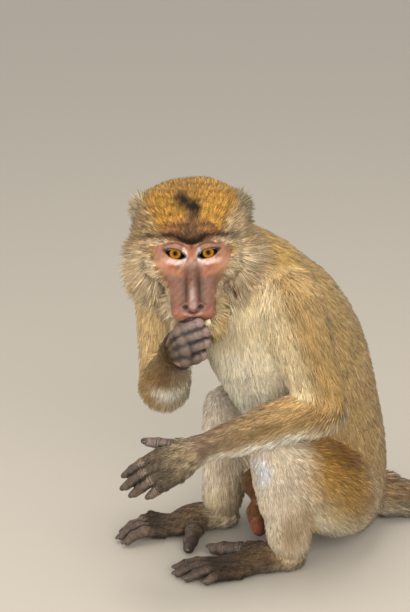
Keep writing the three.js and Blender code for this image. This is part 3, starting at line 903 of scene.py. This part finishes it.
# Ellipsoids that tint the coat inside them: middle, radii, colour and strength.
BODY_MARKS = (
    ((-48, -140, 166), (20, 20, 28), "#e0d2c4", 0.8),
    ((-6, -100, 62), (36, 32, 46), "#6b4a31", 0.85),
    ((96, -118, 66), (26, 18, 34), "#957c55", 0.6),
    ((84, -160, 138), (12, 16, 22), "#c3c8d2", 0.7),
    ((6, -226, 206), (25, 24, 24), "#f2e6d0", 0.95),
    ((34, -172, 304), (16, 16, 24), "#d9c8a4", 0.7),
)
# The same for the thighs, on both sides, by the sizes of x and y.
HAUNCH_MARKS = (
    ((92, 30, 108), (40, 48, 46), "#946e33", 0.75),
    ((76, 36, 140), (44, 58, 32), "#714c10", 1),
)


def within(p, middle, radii, low, high):
    """1 in an ellipsoid, falling to 0 from low to high times its size."""
    return 1 - smooth(np.linalg.norm((p - np.array(middle)) / radii, axis=1), low, high)


def markings(p, n, weight, place, stands):
    """The colours of the coat and of the skin, and how bare the skin is, at points p with normals n
    that stand out by `stands`. From `stands` the skin gets painted shade in its creases and painted
    highlights on its ridges, on the head, hands and feet."""
    tone = body_tone(n, weight, place)
    head = share_of(weight, *HEAD_PARTS)
    f = FACE.local(p)
    tone = head_tone(tone, f, smooth(head, 0.3, 0.8), share_of(weight, "ear"))
    front = share_of(weight, "thigh", "shin") * smooth(-p[:, 1], 88, 124) * smooth(p[:, 2], 60, 90)
    tone = laid(tone, "#cebfaa", 0.8 * front)
    thigh = share_of(weight, "thigh")
    for middle, radii, code, strength in HAUNCH_MARKS:
        tone = laid(tone, code, strength * thigh * within(np.abs(p), middle, radii, 0.4, 1.4))
    for middle, radii, code, strength in BODY_MARKS:
        tone = laid(tone, code, strength * within(p, middle, radii, 0.5, 1.2))
    patches = 1 + 0.10 * waves(p, 42, 1)[:, None] + 0.06 * waves(p, 15, 2)[:, None]
    patches = patches + 0.35 * (share_of(weight, "scrotum") * waves(p, 7, 13, 5))[:, None]
    bare = bareness(p, weight)
    coat = tone * patches
    limbs = share_of(weight, "hand", "foot", "thumb", "toe")
    # Painted shade in the creases of the hands and feet and painted highlights on their ridges, with a
    # random grain over them.
    ridge_light_and_grain = np.clip(stands / 0.32, -1, 1) + 0.35 * waves(p, 3.1, 12, 5)
    creases_shaded_ridges_lit = coat * np.exp(1.5 * limbs * np.clip(ridge_light_and_grain, -1.4, 0.9))[:, None]
    skin = face_tone(creases_shaded_ridges_lit, f, bare * smooth(head, 0.3, 0.8))
    # Painted shade in the head's creases and a faint painted highlight on its ridges.
    shade = 1 + 0.5 * head * np.clip(stands / 0.6, -1, 0.35)
    return coat, skin * shade[:, None], bare


# ---------------------------------------------------------------- materials


def new_material(name):
    """A material with its Principled shader."""
    material = bpy.data.materials.new(name)
    material.use_nodes = True
    return material, material.node_tree.nodes["Principled BSDF"]


def node(material, kind, inputs=(), **settings):
    """Adds one node. inputs gives each socket's value, or the socket that feeds it, and `stops` a
    colour ramp's (place, hex colour) pairs."""
    made = material.node_tree.nodes.new(kind)
    stops = settings.pop("stops", ())
    for key, value in settings.items():
        setattr(made, key, value)
    for _ in stops[2:]:
        made.color_ramp.elements.new(0.5)
    for k, (place, code) in enumerate(stops):
        made.color_ramp.elements[k].position = place
        made.color_ramp.elements[k].color = rgba(code)
    for key, value in dict(inputs).items():
        if isinstance(value, bpy.types.NodeSocket):
            material.node_tree.links.new(value, made.inputs[key])
        else:
            made.inputs[key].default_value = value
    return made


def feed(material, shader, **sockets):
    """Sets the shader's sockets, given by name with _ for a space."""
    for key, value in sockets.items():
        socket = shader.inputs[key.replace("_", " ")]
        if isinstance(value, bpy.types.NodeSocket):
            material.node_tree.links.new(value, socket)
        else:
            socket.default_value = value


def rgba(code):
    """An sRGB hex colour as a socket takes it: linear, with an alpha of 1."""
    return (*linear(code), 1)


def varied(material, tone, factor, low, high):
    """The colour `tone` times a number from low to high that follows a pattern's `factor`."""
    shade = node(material, "ShaderNodeMapRange", {"Value": factor, "To Min": low, "To Max": high})
    made = node(material, "ShaderNodeMix", {0: 1.0, 6: tone, 7: shade.outputs["Result"]},
                data_type="RGBA", blend_type="MULTIPLY")
    return made.outputs[2]


# Patterns' scales, in waves or cells to the metre.
CREASE_SCALE = 950  # skin creases about 1 mm apart
PORE_SCALE = 900  # pores, as close together
MOTTLE_SCALE = 260  # patches of redder and paler skin about 4 mm wide
STREAK_SCALE = 1400  # shades from hair to hair, drawn 0.7 mm wide, many hairs, so that they show
HORN_SCALE = 700  # paler patches of the nails, 1.5 mm wide
STAIN_SCALE = 300  # stains of the teeth, 3 mm wide


def skin_material():
    """Living skin under the coat and bare on the face, palms and soles: soft and slightly oily, with
    fine creases that catch the light, and leathery on the hands and feet."""
    m, shader = new_material("creased_bare_skin")
    place = node(m, "ShaderNodeTexCoord").outputs["Object"]
    tone = node(m, "ShaderNodeAttribute", attribute_name="tone").outputs["Color"]
    bare = node(m, "ShaderNodeAttribute", attribute_name="bare").outputs["Fac"]
    creases = node(m, "ShaderNodeTexVoronoi", {"Vector": place, "Scale": CREASE_SCALE},
                   feature="DISTANCE_TO_EDGE")
    pores = node(m, "ShaderNodeTexNoise", {"Vector": place, "Scale": PORE_SCALE, "Detail": 3})
    lines = node(m, "ShaderNodeMapRange", {"Value": creases.outputs["Distance"], "From Max": 0.12})
    both = node(m, "ShaderNodeMath", {0: lines.outputs["Result"], 1: pores.outputs["Fac"]},
                operation="ADD")
    deep = node(m, "ShaderNodeMath", {0: both.outputs["Value"], 1: bare}, operation="MULTIPLY")
    bump = node(m, "ShaderNodeBump",
                {"Strength": 0.3, "Distance": 0.0004, "Height": deep.outputs["Value"]})
    mottle = node(m, "ShaderNodeTexNoise", {"Vector": place, "Scale": MOTTLE_SCALE, "Detail": 4})
    colour = varied(m, tone, mottle.outputs["Fac"], 0.82, 1.16)
    rough = node(m, "ShaderNodeMapRange", {"Value": bare, "To Min": 0.85, "To Max": 0.5})
    feed(m, shader, Base_Color=colour, Roughness=rough.outputs["Result"], Normal=bump.outputs["Normal"],
         Subsurface_Weight=0.12, Subsurface_Radius=(0.0035, 0.0012, 0.0006), Specular_IOR_Level=0.4)
    return m


def coat_material():
    """Clean dry hair: matt, with a faint sheen and fine streaks of shade. Its colours and dark roots
    are the tufts' own."""
    m, shader = new_material("dry_banded_hair")
    tone = node(m, "ShaderNodeAttribute", attribute_name="tone").outputs["Color"]
    place = node(m, "ShaderNodeTexCoord").outputs["Object"]
    streak = node(m, "ShaderNodeTexNoise", {"Vector": place, "Scale": STREAK_SCALE, "Detail": 1})
    colour = varied(m, tone, streak.outputs["Fac"], 0.8, 1.2)
    feed(m, shader, Base_Color=colour, Roughness=0.7, Specular_IOR_Level=0.2,
         Sheen_Weight=0.08, Sheen_Roughness=0.5)
    return m


# From the middle of the pupil to the back of the eyeball: pupil, amber iris, dark ring, white.
IRIS = (
    (0.0, "#050405"), (0.062, "#050405"), (0.078, "#3a2207"), (0.11, "#7c500d"), (0.165, "#a06c19"),
    (0.208, "#7d5110"), (0.228, "#241205"), (0.25, "#140b07"), (1.0, "#1a100b"),
)


def eye_material():
    """A living eye under its wet cornea, which shines: the map's v runs from the pupil's middle to
    the back, and u round it. An amber iris with fibres, a dark ring and a brown-black white."""
    m, shader = new_material("wet_amber_eye")
    uv = node(m, "ShaderNodeUVMap", uv_map="round_gaze")
    parts = node(m, "ShaderNodeSeparateXYZ", {"Vector": uv.outputs["UV"]})
    stretch = node(m, "ShaderNodeMapping", {"Vector": uv.outputs["UV"], "Scale": (60, 9, 1)})
    fibres = node(m, "ShaderNodeTexNoise", {"Vector": stretch.outputs["Vector"], "Scale": 1.6, "Detail": 3})
    wobble = node(m, "ShaderNodeMath", {0: fibres.outputs["Fac"], 1: 0.035, 2: parts.outputs["Y"]},
                  operation="MULTIPLY_ADD")
    iris = node(m, "ShaderNodeValToRGB", {"Fac": wobble.outputs["Value"]}, stops=IRIS)
    colour = varied(m, iris.outputs["Color"], fibres.outputs["Fac"], 0.55, 1.35)
    feed(m, shader, Base_Color=colour, Roughness=0.5, Specular_IOR_Level=0.05,
         Coat_Weight=0.1, Coat_Roughness=0.02, Coat_IOR=1.38)
    return m


def nail_material():
    """Dark horn, smooth and lightly polished by wear: a soft shine and faint paler patches."""
    m, shader = new_material("dark_horn_nail")
    place = node(m, "ShaderNodeTexCoord").outputs["Object"]
    grain = node(m, "ShaderNodeTexNoise", {"Vector": place, "Scale": HORN_SCALE, "Detail": 2})
    horn = node(m, "ShaderNodeValToRGB", {"Fac": grain.outputs["Fac"]},
                stops=((0.3, "#1e1815"), (0.7, "#4a4039")))
    feed(m, shader, Base_Color=horn.outputs["Color"], Roughness=0.35)
    return m


def tooth_material():
    """Wet enamel: ivory with faint yellow stains, under a sharp shine."""
    m, shader = new_material("wet_ivory_enamel")
    place = node(m, "ShaderNodeTexCoord").outputs["Object"]
    stain = node(m, "ShaderNodeTexNoise", {"Vector": place, "Scale": STAIN_SCALE, "Detail": 2})
    enamel = node(m, "ShaderNodeValToRGB", {"Fac": stain.outputs["Fac"]},
                  stops=((0.35, "#e8d3a2"), (0.7, "#f4ead0")))
    feed(m, shader, Base_Color=enamel.outputs["Color"], Roughness=0.2, Coat_Weight=0.5, Coat_Roughness=0.05)
    return m


# ---------------------------------------------------------------- meshes


def placed(name, data):
    """A new object in the scene."""
    thing = bpy.data.objects.new(name, data)
    bpy.context.scene.collection.objects.link(thing)
    return thing


def numbers_of(data, name, width, kind=np.float32):
    """One property of all of a mesh's vertices, loops or faces, `width` numbers for each."""
    found = np.empty(len(data) * width, kind)
    data.foreach_get(name, found)
    return found.reshape(-1, width) if width > 1 else found


def new_piece(name, points, faces, material):
    """A smooth-shaded object on the root body, from points in mm and faces, each set an array of one
    kind."""
    mesh = bpy.data.meshes.new(name)
    loops = np.concatenate([f.ravel() for f in faces]).astype(np.int32)
    counts = np.concatenate([np.full(len(f), f.shape[1]) for f in faces])
    mesh.vertices.add(len(points))
    mesh.vertices.foreach_set("co", (np.asarray(points) * MM).astype(np.float32).ravel())
    mesh.loops.add(len(loops))
    mesh.loops.foreach_set("vertex_index", loops)
    mesh.polygons.add(len(counts))
    mesh.polygons.foreach_set("loop_start", np.concatenate([[0], np.cumsum(counts)[:-1]]).astype(np.int32))
    mesh.update(calc_edges=True)
    mesh.validate()
    mesh.polygons.foreach_set("use_smooth", np.ones(len(mesh.polygons), bool))
    mesh.materials.append(material)
    piece = placed(name, mesh)
    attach(piece, "root")
    return piece


def set_colours(mesh, name, colours):
    """A colour for each vertex, linear."""
    layer = mesh.color_attributes.new(name, "FLOAT_COLOR", "POINT")
    with_alpha = np.column_stack([colours, np.ones(len(colours))])
    layer.data.foreach_set("color", with_alpha.astype(np.float32).ravel())


def make_skin(material):
    """The one skin, with its markings as the colour `tone` and its bare places as `bare`. Returns its
    mesh and what the coat needs to know at each vertex."""
    points, triangles, quads, stands = skin_shape()
    skin = new_piece("skin", points, [triangles, quads], material)
    flesh_nodes = [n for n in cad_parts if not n.startswith("eye")]
    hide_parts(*flesh_nodes)
    normals = numbers_of(skin.data.vertex_normals, "vector", 3)
    weight, place = shares(points)
    weight = claimed(points, weight)
    coat, tone, bare = markings(points, normals, weight, place, stands)
    set_colours(skin.data, "tone", tone * (1 - UNDER_COAT * (1 - bare[:, None])))
    layer = skin.data.attributes.new("bare", "FLOAT", "POINT")
    layer.data.foreach_set("value", bare.astype(np.float32))
    return {
        "mesh": skin.data, "points": points, "normals": normals, "tone": coat, "bare": bare,
        "part": weight.argmax(1),
        "lie": lie_of_coat(points, normals, weight, place),
        "length": hair_length(points, weight, place),
        "fluff": share_of(weight, "cheek") + 0.8 * share_of(weight, "skull"),
        "speckle": speckle_of(points, weight),
        "thick": 1 + 0.6 * share_of(weight, *HEAD_PARTS),
    }


# ---------------------------------------------------------------- coat

TUFTS = 360000
TUFTS_IN_PIECE = 49000
UNDER_COAT = 0.25  # how much darker the skin is where the coat covers it
UNDERSIDE = 3  # mm above the floor, below which few tufts grow
ROOT_DEPTH = 0.8  # mm that a tuft's root lies under the skin
LOWEST = 0.3  # mm above the floor that a tuft may reach down to
DROOP = 0.1  # how far a tuft's outer part hangs down, over its length
ROOT_SHADE = 0.75  # a tuft's colour at its root, over its own
PALE_TIP = 1.22  # the same at a pale tip
DARK_TIP = 0.55  # the same at a dark tip


def lie_of_coat(p, n, weight, place):
    """The way the hair runs at each point: along each part, away from the middle of the face on the
    head, laid into the skin and swirled a little."""
    way = np.zeros((len(p), 3))
    for i, part in enumerate(PARTS):
        if not part.name.startswith(HEAD_PARTS):
            way += weight[:, i:i + 1] * part.flow * part.way(place[:, i])
    way += share_of(weight, "trunk", "neck")[:, None] * np.array((0, 0, -0.35))
    f = FACE.local(p)
    away = unit(f - (0, 24, -8)) @ FACE.axes.T
    way += share_of(weight, *HEAD_PARTS)[:, None] * away
    swirl = np.stack([waves(p, 34, 20 + k) for k in range(3)], 1) * 0.2
    way = way + swirl
    way -= (way * n).sum(1, keepdims=True) * n
    return unit(way)


def hair_length(p, weight, place):
    """The length of the coat in mm: the parts' own, shorter over the crown, brow and muzzle."""
    length = mixed(weight, place, "hair")
    f = FACE.local(p)
    x, z = np.abs(f[:, 0]), f[:, 2]
    head = smooth(share_of(weight, *HEAD_PARTS), 0.3, 0.8)
    front = smooth(f[:, 1], -30, -5) * head
    near_face = np.interp(x, (0, 20, 34, 48, 60), (6, 7, 10, 17, 22))
    near_face = np.where(z > 14, np.minimum(near_face, 8 + 0.2 * (z - 14)), near_face)
    return length + front * (np.minimum(length, near_face) - length)


def tuft_roots(body):
    """Where the tufts grow: picked by chance over the skin's triangles, closer together where the hair
    is short. Returns the part that each grows on, and a function that gives any of the skin's values
    there."""
    mesh, points = body["mesh"], body["points"]
    mesh.calc_loop_triangles()
    corners = numbers_of(mesh.loop_triangles, "vertices", 3, np.int32)
    a, b, c = (points[corners[:, k]] for k in range(3))
    area = np.linalg.norm(np.cross(b - a, c - a), axis=1) / 2
    bare, length, thick = (body[name][corners].mean(1) for name in ("bare", "length", "thick"))
    wanted = area * thick * (1 - smooth(bare, 0.5, 0.9)) / (length * tuft_width(length)) ** 0.85
    wanted *= np.where(a[:, 2] < UNDERSIDE, 0.15, 1)
    pick = rng.choice(len(area), TUFTS, p=wanted / wanted.sum())
    u, v = rng.random(TUFTS), rng.random(TUFTS)
    over = u + v > 1
    u, v = np.where(over, 1 - u, u), np.where(over, 1 - v, v)

    def there(name):
        """The skin's values of this name at the roots."""
        values = body[name][corners[pick]]
        u_, v_ = (x.reshape([-1] + [1] * (values.ndim - 2)) for x in (u, v))
        return values[:, 0] * (1 - u_ - v_) + values[:, 1] * u_ + values[:, 2] * v_

    return body["part"][corners[pick, 0]], there


def tuft_width(length):
    """The full width of a tuft in mm: thin, and a little thicker where it is long."""
    return 0.17 + 0.013 * length


def unwrapped(root, chosen):
    """A place for each root on a flat map of the skin: each part has a strip of its own, as wide as
    the root of its area, along it by the place along the part and across it by the angle round the
    part's middle. The strip's two ends are for what lies past the part's ends."""
    areas = np.array([part.girth.mean() * (np.linalg.norm(np.diff(part.at, axis=0), axis=1).sum()
                                           + 2 * part.girth.mean()) for part in PARTS])
    edges = np.concatenate([[0], np.cumsum(np.sqrt(areas))]) / np.sqrt(areas).sum()
    uv = np.zeros((len(root), 2))
    for i, part in enumerate(PARTS):
        own = chosen == i
        if not own.any():
            continue
        p = root[own]
        at = part.nearest(p)[1]
        middle = np.stack([part.along(part.at[:, k], at) for k in range(3)], 1)
        way = part.way(at)
        side = unit(np.cross(way, (0.31, 0.27, 0.91)))
        out = p - middle
        angle = np.arctan2((out * np.cross(way, side)).sum(1), (out * side).sum(1))
        total = len(part.at) - 1
        past = (out * way).sum(1) / part.girth.mean()
        along = (at / total + 0.35 * np.clip(past, -1, 1) + 0.35) / 1.7
        uv[own, 0] = edges[i] + (edges[i + 1] - edges[i]) * (0.5 + angle / (2 * np.pi)) * 0.98
        uv[own, 1] = along
    return 0.01 + 0.98 * uv


# A tuft is a leaf of four faces: its root, its two sides where it is widest, and its tip. It is bent
# over at its sides, which gives it its thickness.
TUFT_FACES = np.array([(0, 1, 2), (1, 3, 2), (0, 3, 1), (0, 2, 3)])
PATCH = 0.003  # the size of a tuft's own patch of the map
TUFT_MAP = np.array([(0.5, 0), (0, 0.4), (1, 0.4), (0.5, 1)]) * PATCH
WIDEST = 0.42  # the share of its length at which a tuft is widest


def grow_tufts(root, normal, lie, length, width, lift):
    """Every tuft's four corners, and the normals that round them (tufts x 4 x 3): from the root it
    rises by the angle `lift`, then bends over towards the lie and a little down."""
    first = unit(np.cos(lift)[:, None] * lie + np.sin(lift)[:, None] * normal)
    late = lift * 0.35
    second = np.cos(late)[:, None] * lie + np.sin(late)[:, None] * normal
    second = unit(second + (0, 0, -DROOP))
    start = root - normal * ROOT_DEPTH
    middle = start + first * (WIDEST * length)[:, None]
    side = unit(np.cross(first, normal))
    half = side * (0.5 * width)[:, None]
    end = middle + second * ((1 - WIDEST) * length)[:, None]
    corners = np.stack([start, middle + half, middle - half, end], 1)
    rounded = unit(np.stack([normal, normal + 0.5 * side, normal - 0.5 * side, normal + 0.4 * lie], 1))
    return corners, rounded


def make_coat(body, material):
    """All the tufts, joined into a few pieces for the head and a few for the rest. Each has its own
    turn, length, lift, width and shade, by chance."""
    chosen, there = tuft_roots(body)
    root, bare, fluff = there("points"), there("bare"), there("fluff")
    normal, lie = unit(there("normals")), unit(there("lie"))
    count = len(root)
    spin = rng.normal(0, 0.16, count)[:, None]
    lie = unit(lie + spin * np.cross(normal, lie))
    length = there("length") * (1 - 0.45 * bare) * rng.uniform(0.75, 1.2, count)
    lift = np.radians(32 + 16 * fluff) * rng.uniform(0.75, 1.3, count)
    width = tuft_width(length) * rng.uniform(0.8, 1.25, count)
    corners, rounded = grow_tufts(root, normal, lie, length, width, lift)
    corners[..., 2] = np.maximum(corners[..., 2], LOWEST)
    speckle = there("speckle")
    shades = tuft_shades(there("tone") * locks(root, speckle), speckle)
    uv = unwrapped(root, chosen)
    order = np.argsort(chosen, kind="stable")
    head = np.array([name.startswith(HEAD_PARTS) for name in NAMES])[chosen[order]]
    groups = {"coat_of_head": order[head], "coat_of_body": order[~head]}
    for name, members in groups.items():
        for k, own in enumerate(np.array_split(members, int(np.ceil(len(members) / TUFTS_IN_PIECE)))):
            tuft_piece(f"{name}_{k + 1}", corners[own], rounded[own], shades[own], uv[own], material)


def speckle_of(p, weight):
    """How much neighbouring tufts differ in shade: most on the crown and the hands and feet, least on
    the chest and belly."""
    head = share_of(weight, "skull")
    pale = share_of(weight, "trunk", "neck") * smooth(-p[:, 1], 90, 150)
    return (0.12 + 0.36 * head + 0.34 * share_of(weight, "hand", "foot") + 0.25 * share_of(weight, "tail")
            + 0.12 * share_of(weight, "thigh", "cheek", "ear", "forearm") - 0.06 * pale)


def locks(root, speckle):
    """The shade of the lock that a tuft belongs to: waves 3 and 7.5 mm long."""
    fine = 1.4 * waves(root, 3.0, 31, 6) + 1.2 * waves(root, 7.5, 32, 4)
    return np.clip(1 + speckle * fine, 0.45, 1.5)[:, None]


def tuft_shades(tone, speckle):
    """The colour at each of a tuft's corners: darker at the root, its own shade in the middle, and a
    pale or a dark tip, as banded hair has. speckle is how much the tufts differ."""
    count = len(tone)
    own = np.exp(np.clip(rng.normal(0, 1, count) * (0.03 + speckle), -0.9, 0.6))[:, None]
    warmth = rng.normal(0, 0.05, count)[:, None] * np.array((1, 0.1, -1.2))
    tone = np.clip(tone * own * (1 + warmth), 0, 1)
    dark_tip = rng.random(count)[:, None] < 0.15 + 0.7 * speckle[:, None]
    tip = np.where(dark_tip, tone * DARK_TIP, np.minimum(tone * PALE_TIP, 0.95))
    return np.stack([tone * ROOT_SHADE, tone, tone, tip], 1)


def tuft_piece(name, corners, rounded, shades, uv, material):
    """One piece of the coat, with each corner's shade as `tone`, its rounding normal, and its place on
    the map."""
    count = len(corners)
    faces = (np.arange(count)[:, None, None] * 4 + TUFT_FACES).reshape(-1, 3)
    piece = new_piece(name, corners.reshape(-1, 3), [faces], material)
    set_colours(piece.data, "tone", shades.reshape(-1, 3))
    normals = piece.data.attributes.new("custom_normal", "FLOAT_VECTOR", "POINT")
    normals.data.foreach_set("vector", rounded.astype(np.float32).ravel())
    layer = piece.data.uv_layers.new(name="OFBake")
    places = uv[:, None, None] + TUFT_MAP[TUFT_FACES]
    layer.data.foreach_set("uv", places.astype(np.float32).ravel())


# ---------------------------------------------------------------- eyes, teeth and nails


def ball_angles(rows, around):
    """The polar angle of each row of a ball, 0 to pi, and the angle of each place round it."""
    return np.linspace(0, np.pi, rows), np.linspace(0, 2 * np.pi, around, endpoint=False)


def round_surface(name, points, material):
    """A closed surface from a grid of rings (rows x around x 3) whose first and last rows are single
    points: the middle rows make quads and the end ones fans. Returns it, and the grid's points that
    its vertices are."""
    rows, around = points.shape[:2]
    ring = np.arange(around)
    after = (ring + 1) % around
    quads = np.concatenate([np.stack([r * around + ring, r * around + after, (r + 1) * around + after,
                                      (r + 1) * around + ring], 1) for r in range(1, rows - 2)])
    last = rows * around - 1
    before = (rows - 2) * around
    fans = np.concatenate([
        np.stack([np.zeros(around, int), around + after, around + ring], 1),
        np.stack([np.full(around, last), before + ring, before + after], 1)])
    used = np.unique(np.concatenate([quads.ravel(), fans.ravel()]))
    renumbered = np.zeros(rows * around, int)
    renumbered[used] = np.arange(len(used))
    faces = [renumbered[fans], renumbered[quads]]
    return new_piece(name, points.reshape(-1, 3)[used], faces, material), used


CORNEA = np.radians(38)  # how far round the gaze the cornea reaches
CORNEA_RISE = 0.9  # mm that its middle stands out of the ball


def make_eye(side, material):
    """An eyeball: a sphere round the gaze whose radius swells by a cosine bump over the cornea. The
    map `round_gaze` gives the angle round the gaze as u and away from it as v, and where a face spans
    the seam, its low u are raised by 1."""
    rows, around = 48, 64
    polar, angle = ball_angles(rows, around)
    bump = np.where(polar < CORNEA, 0.5 + 0.5 * np.cos(np.pi * polar / CORNEA), 0)
    radius = EYE_RADIUS + CORNEA_RISE * bump
    points = np.stack([
        (radius * np.sin(polar))[:, None] * np.cos(angle),
        (radius * np.cos(polar))[:, None] * np.ones(around),
        (radius * np.sin(polar))[:, None] * np.sin(angle)], 2)
    world = FACE.world(points + EYE_AT[side])
    eye, used = round_surface(f"eyeball_{side}", world, material)
    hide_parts(f"eye_{side}")
    loops = numbers_of(eye.data.loops, "vertex_index", 1, np.int32)
    u = (np.ones(rows)[:, None] * angle / (2 * np.pi)).ravel()[used][loops]
    v = (polar[:, None] * np.ones(around) / np.pi).ravel()[used][loops]
    corners = numbers_of(eye.data.polygons, "loop_total", 1, np.int32)
    face_of = np.repeat(np.arange(len(corners)), corners)
    highest = np.zeros(len(corners))
    np.maximum.at(highest, face_of, u)
    u[(u < 0.25) & (highest[face_of] > 0.75)] += 1
    layer = eye.data.uv_layers.new(name="round_gaze")
    layer.data.foreach_set("uv", np.stack([u, v], 1).astype(np.float32).ravel())


def make_tooth(name, at, radii, material):
    """A tooth: an egg narrowed towards its top. At the polar angle t its half width is sin t times
    1 - 0.35 cos t."""
    polar, angle = ball_angles(14, 18)
    narrow = np.sin(polar) * (1 - 0.35 * np.cos(polar))
    points = np.stack([
        radii[0] * narrow[:, None] * np.cos(angle),
        radii[1] * narrow[:, None] * np.sin(angle),
        radii[2] * np.cos(polar)[:, None] * np.ones(len(angle))], 2)
    round_surface(name, HEAD.world(points + at), material)


def make_teeth(material):
    """The lower canines, and the four lower incisors in a shallow arc between them."""
    make_tooth("lower_canine_left", (-14.2, 26.5, -68.5), (3.6, 3, 5.5), material)
    make_tooth("lower_canine_right", (12.5, 20, -71), (2.9, 2.9, 6), material)
    for k, x in enumerate((-7.2, -2.4, 2.4, 7.2)):
        make_tooth(f"lower_incisor_{k + 1}", (x, 30 - 0.05 * x * x, -72.5), (2.3, 1.7, 4.5), material)


def make_nails(side, limb, material):
    """A nail on the back of each digit's tip: a flattened egg, bent down by the square of its width
    and a little by the square of its length. Its sizes go by the digit's radius r."""
    polar, angle = ball_angles(10, 16)
    for k, (place, points, radii) in enumerate(digits_of(side, limb)):
        tip, before = points[-1], points[-2]
        way = unit(tip - before)
        out = unit(np.array(UP, float) - way * way[2])
        across = np.cross(way, out)
        r = radii[-1]
        wide = 0.72 * r * np.sin(polar)[:, None] * np.cos(angle)
        long = 1.1 * r * np.cos(polar)[:, None] * np.ones(len(angle))
        thick = 0.34 * r * np.sin(polar)[:, None] * np.sin(angle)
        arched = thick - 0.5 * wide**2 / r - 0.05 * long**2 / r
        local = (tip + 0.3 * r * way + 0.66 * r * out
                 + wide[..., None] * across + long[..., None] * way + arched[..., None] * out)
        world = place.world(local)
        world[..., 2] += max(0.5 - world[..., 2].min(), 0)
        round_surface(f"nail_{limb}_{side}_{k + 1}", world, material)


# ---------------------------------------------------------------- stage

FLOOR_HALF = 6000  # mm from the floor's middle to its edges
FLOOR_DROP = 0.2  # mm that it lies under the feet
TARGET = np.array((-0.0643, -0.146, 0.275))  # where the camera and the lights are aimed
AZIMUTH, ELEVATION, DISTANCE = np.radians(62), np.radians(20), 2.0
LENS = 105.88  # mm, for a sensor 36 mm on its longer side
# Each light's name, its metres from the target towards the camera, to its right and up, its size in
# metres, its watts and its colour.
LIGHTS = (
    ("key", (0.7, -0.1, 1.5), 1.0, 15, "#fff6ea"),
    ("fill", (1.9, 0.5, 0.2), 1.4, 30, "#fbf7f0"),
    ("low", (1.0, -0.9, -0.42), 1.2, 16, "#fff6ea"),
)


def floor_material():
    """Matt paint on a board: pale, warm grey and without shine."""
    m, shader = new_material("pale_matt_floor")
    feed(m, shader, Base_Color=rgba("#aba59b"), Roughness=0.9)
    return m


def make_stage():
    """A plain pale floor, wide enough to fill the view."""
    corners = ((-1, -1), (1, -1), (1, 1), (-1, 1))
    points = np.array([(x * FLOOR_HALF, y * FLOOR_HALF, -FLOOR_DROP) for x, y in corners])
    mesh = bpy.data.meshes.new("floor")
    mesh.from_pydata((points * MM).tolist(), [], [(0, 1, 2, 3)])
    mesh.materials.append(floor_material())
    placed("floor", mesh)


def aim(thing, at):
    """Puts a camera or a light at a place and turns it to the target."""
    thing.location = at
    thing.rotation_mode = "QUATERNION"
    thing.rotation_quaternion = (Vector(TARGET) - Vector(at)).to_track_quat("-Z", "Y")


def make_camera(back):
    """The viewpoint, 2 m from the chest along `back`."""
    data = bpy.data.cameras.new("camera")
    data.sensor_width, data.lens = 36, LENS
    camera = placed("camera", data)
    aim(camera, TARGET + back * DISTANCE)
    bpy.context.scene.camera = camera


def make_lights(back):
    """Soft studio light: a key from nearly overhead, a large fill from beside the camera, and a low
    one from the left, as from a pale ground. A pale grey world fills the rest."""
    right = unit(np.cross(UP, back))
    up = np.cross(back, right)
    for name, (near, across, above), size, power, colour in LIGHTS:
        light = bpy.data.lights.new(name, "AREA")
        light.shape, light.size, light.energy = "DISK", size, power
        light.color = linear(colour)
        aim(placed(name, light), TARGET + near * back + across * right + above * up)
    world = bpy.data.worlds.new("studio")
    world.use_nodes = True
    sky = world.node_tree.nodes["Background"]
    sky.inputs["Color"].default_value = rgba("#f4f1ec")
    sky.inputs["Strength"].default_value = 1.0
    bpy.context.scene.world = world


# ---------------------------------------------------------------- the model

back = np.array((np.sin(AZIMUTH) * np.cos(ELEVATION), -np.cos(AZIMUTH) * np.cos(ELEVATION),
                 np.sin(ELEVATION)))
make_camera(back)
make_lights(back)
make_stage()
make_coat(make_skin(skin_material()), coat_material())
eye_look, nail_look = eye_material(), nail_material()
for side in SIDES:
    make_eye(side, eye_look)
    make_nails(side, "hand", nail_look)
    make_nails(side, "foot", nail_look)
make_teeth(tooth_material())
# The colours are shown as they are, without a film look.
bpy.context.scene.view_settings.view_transform = "Standard"
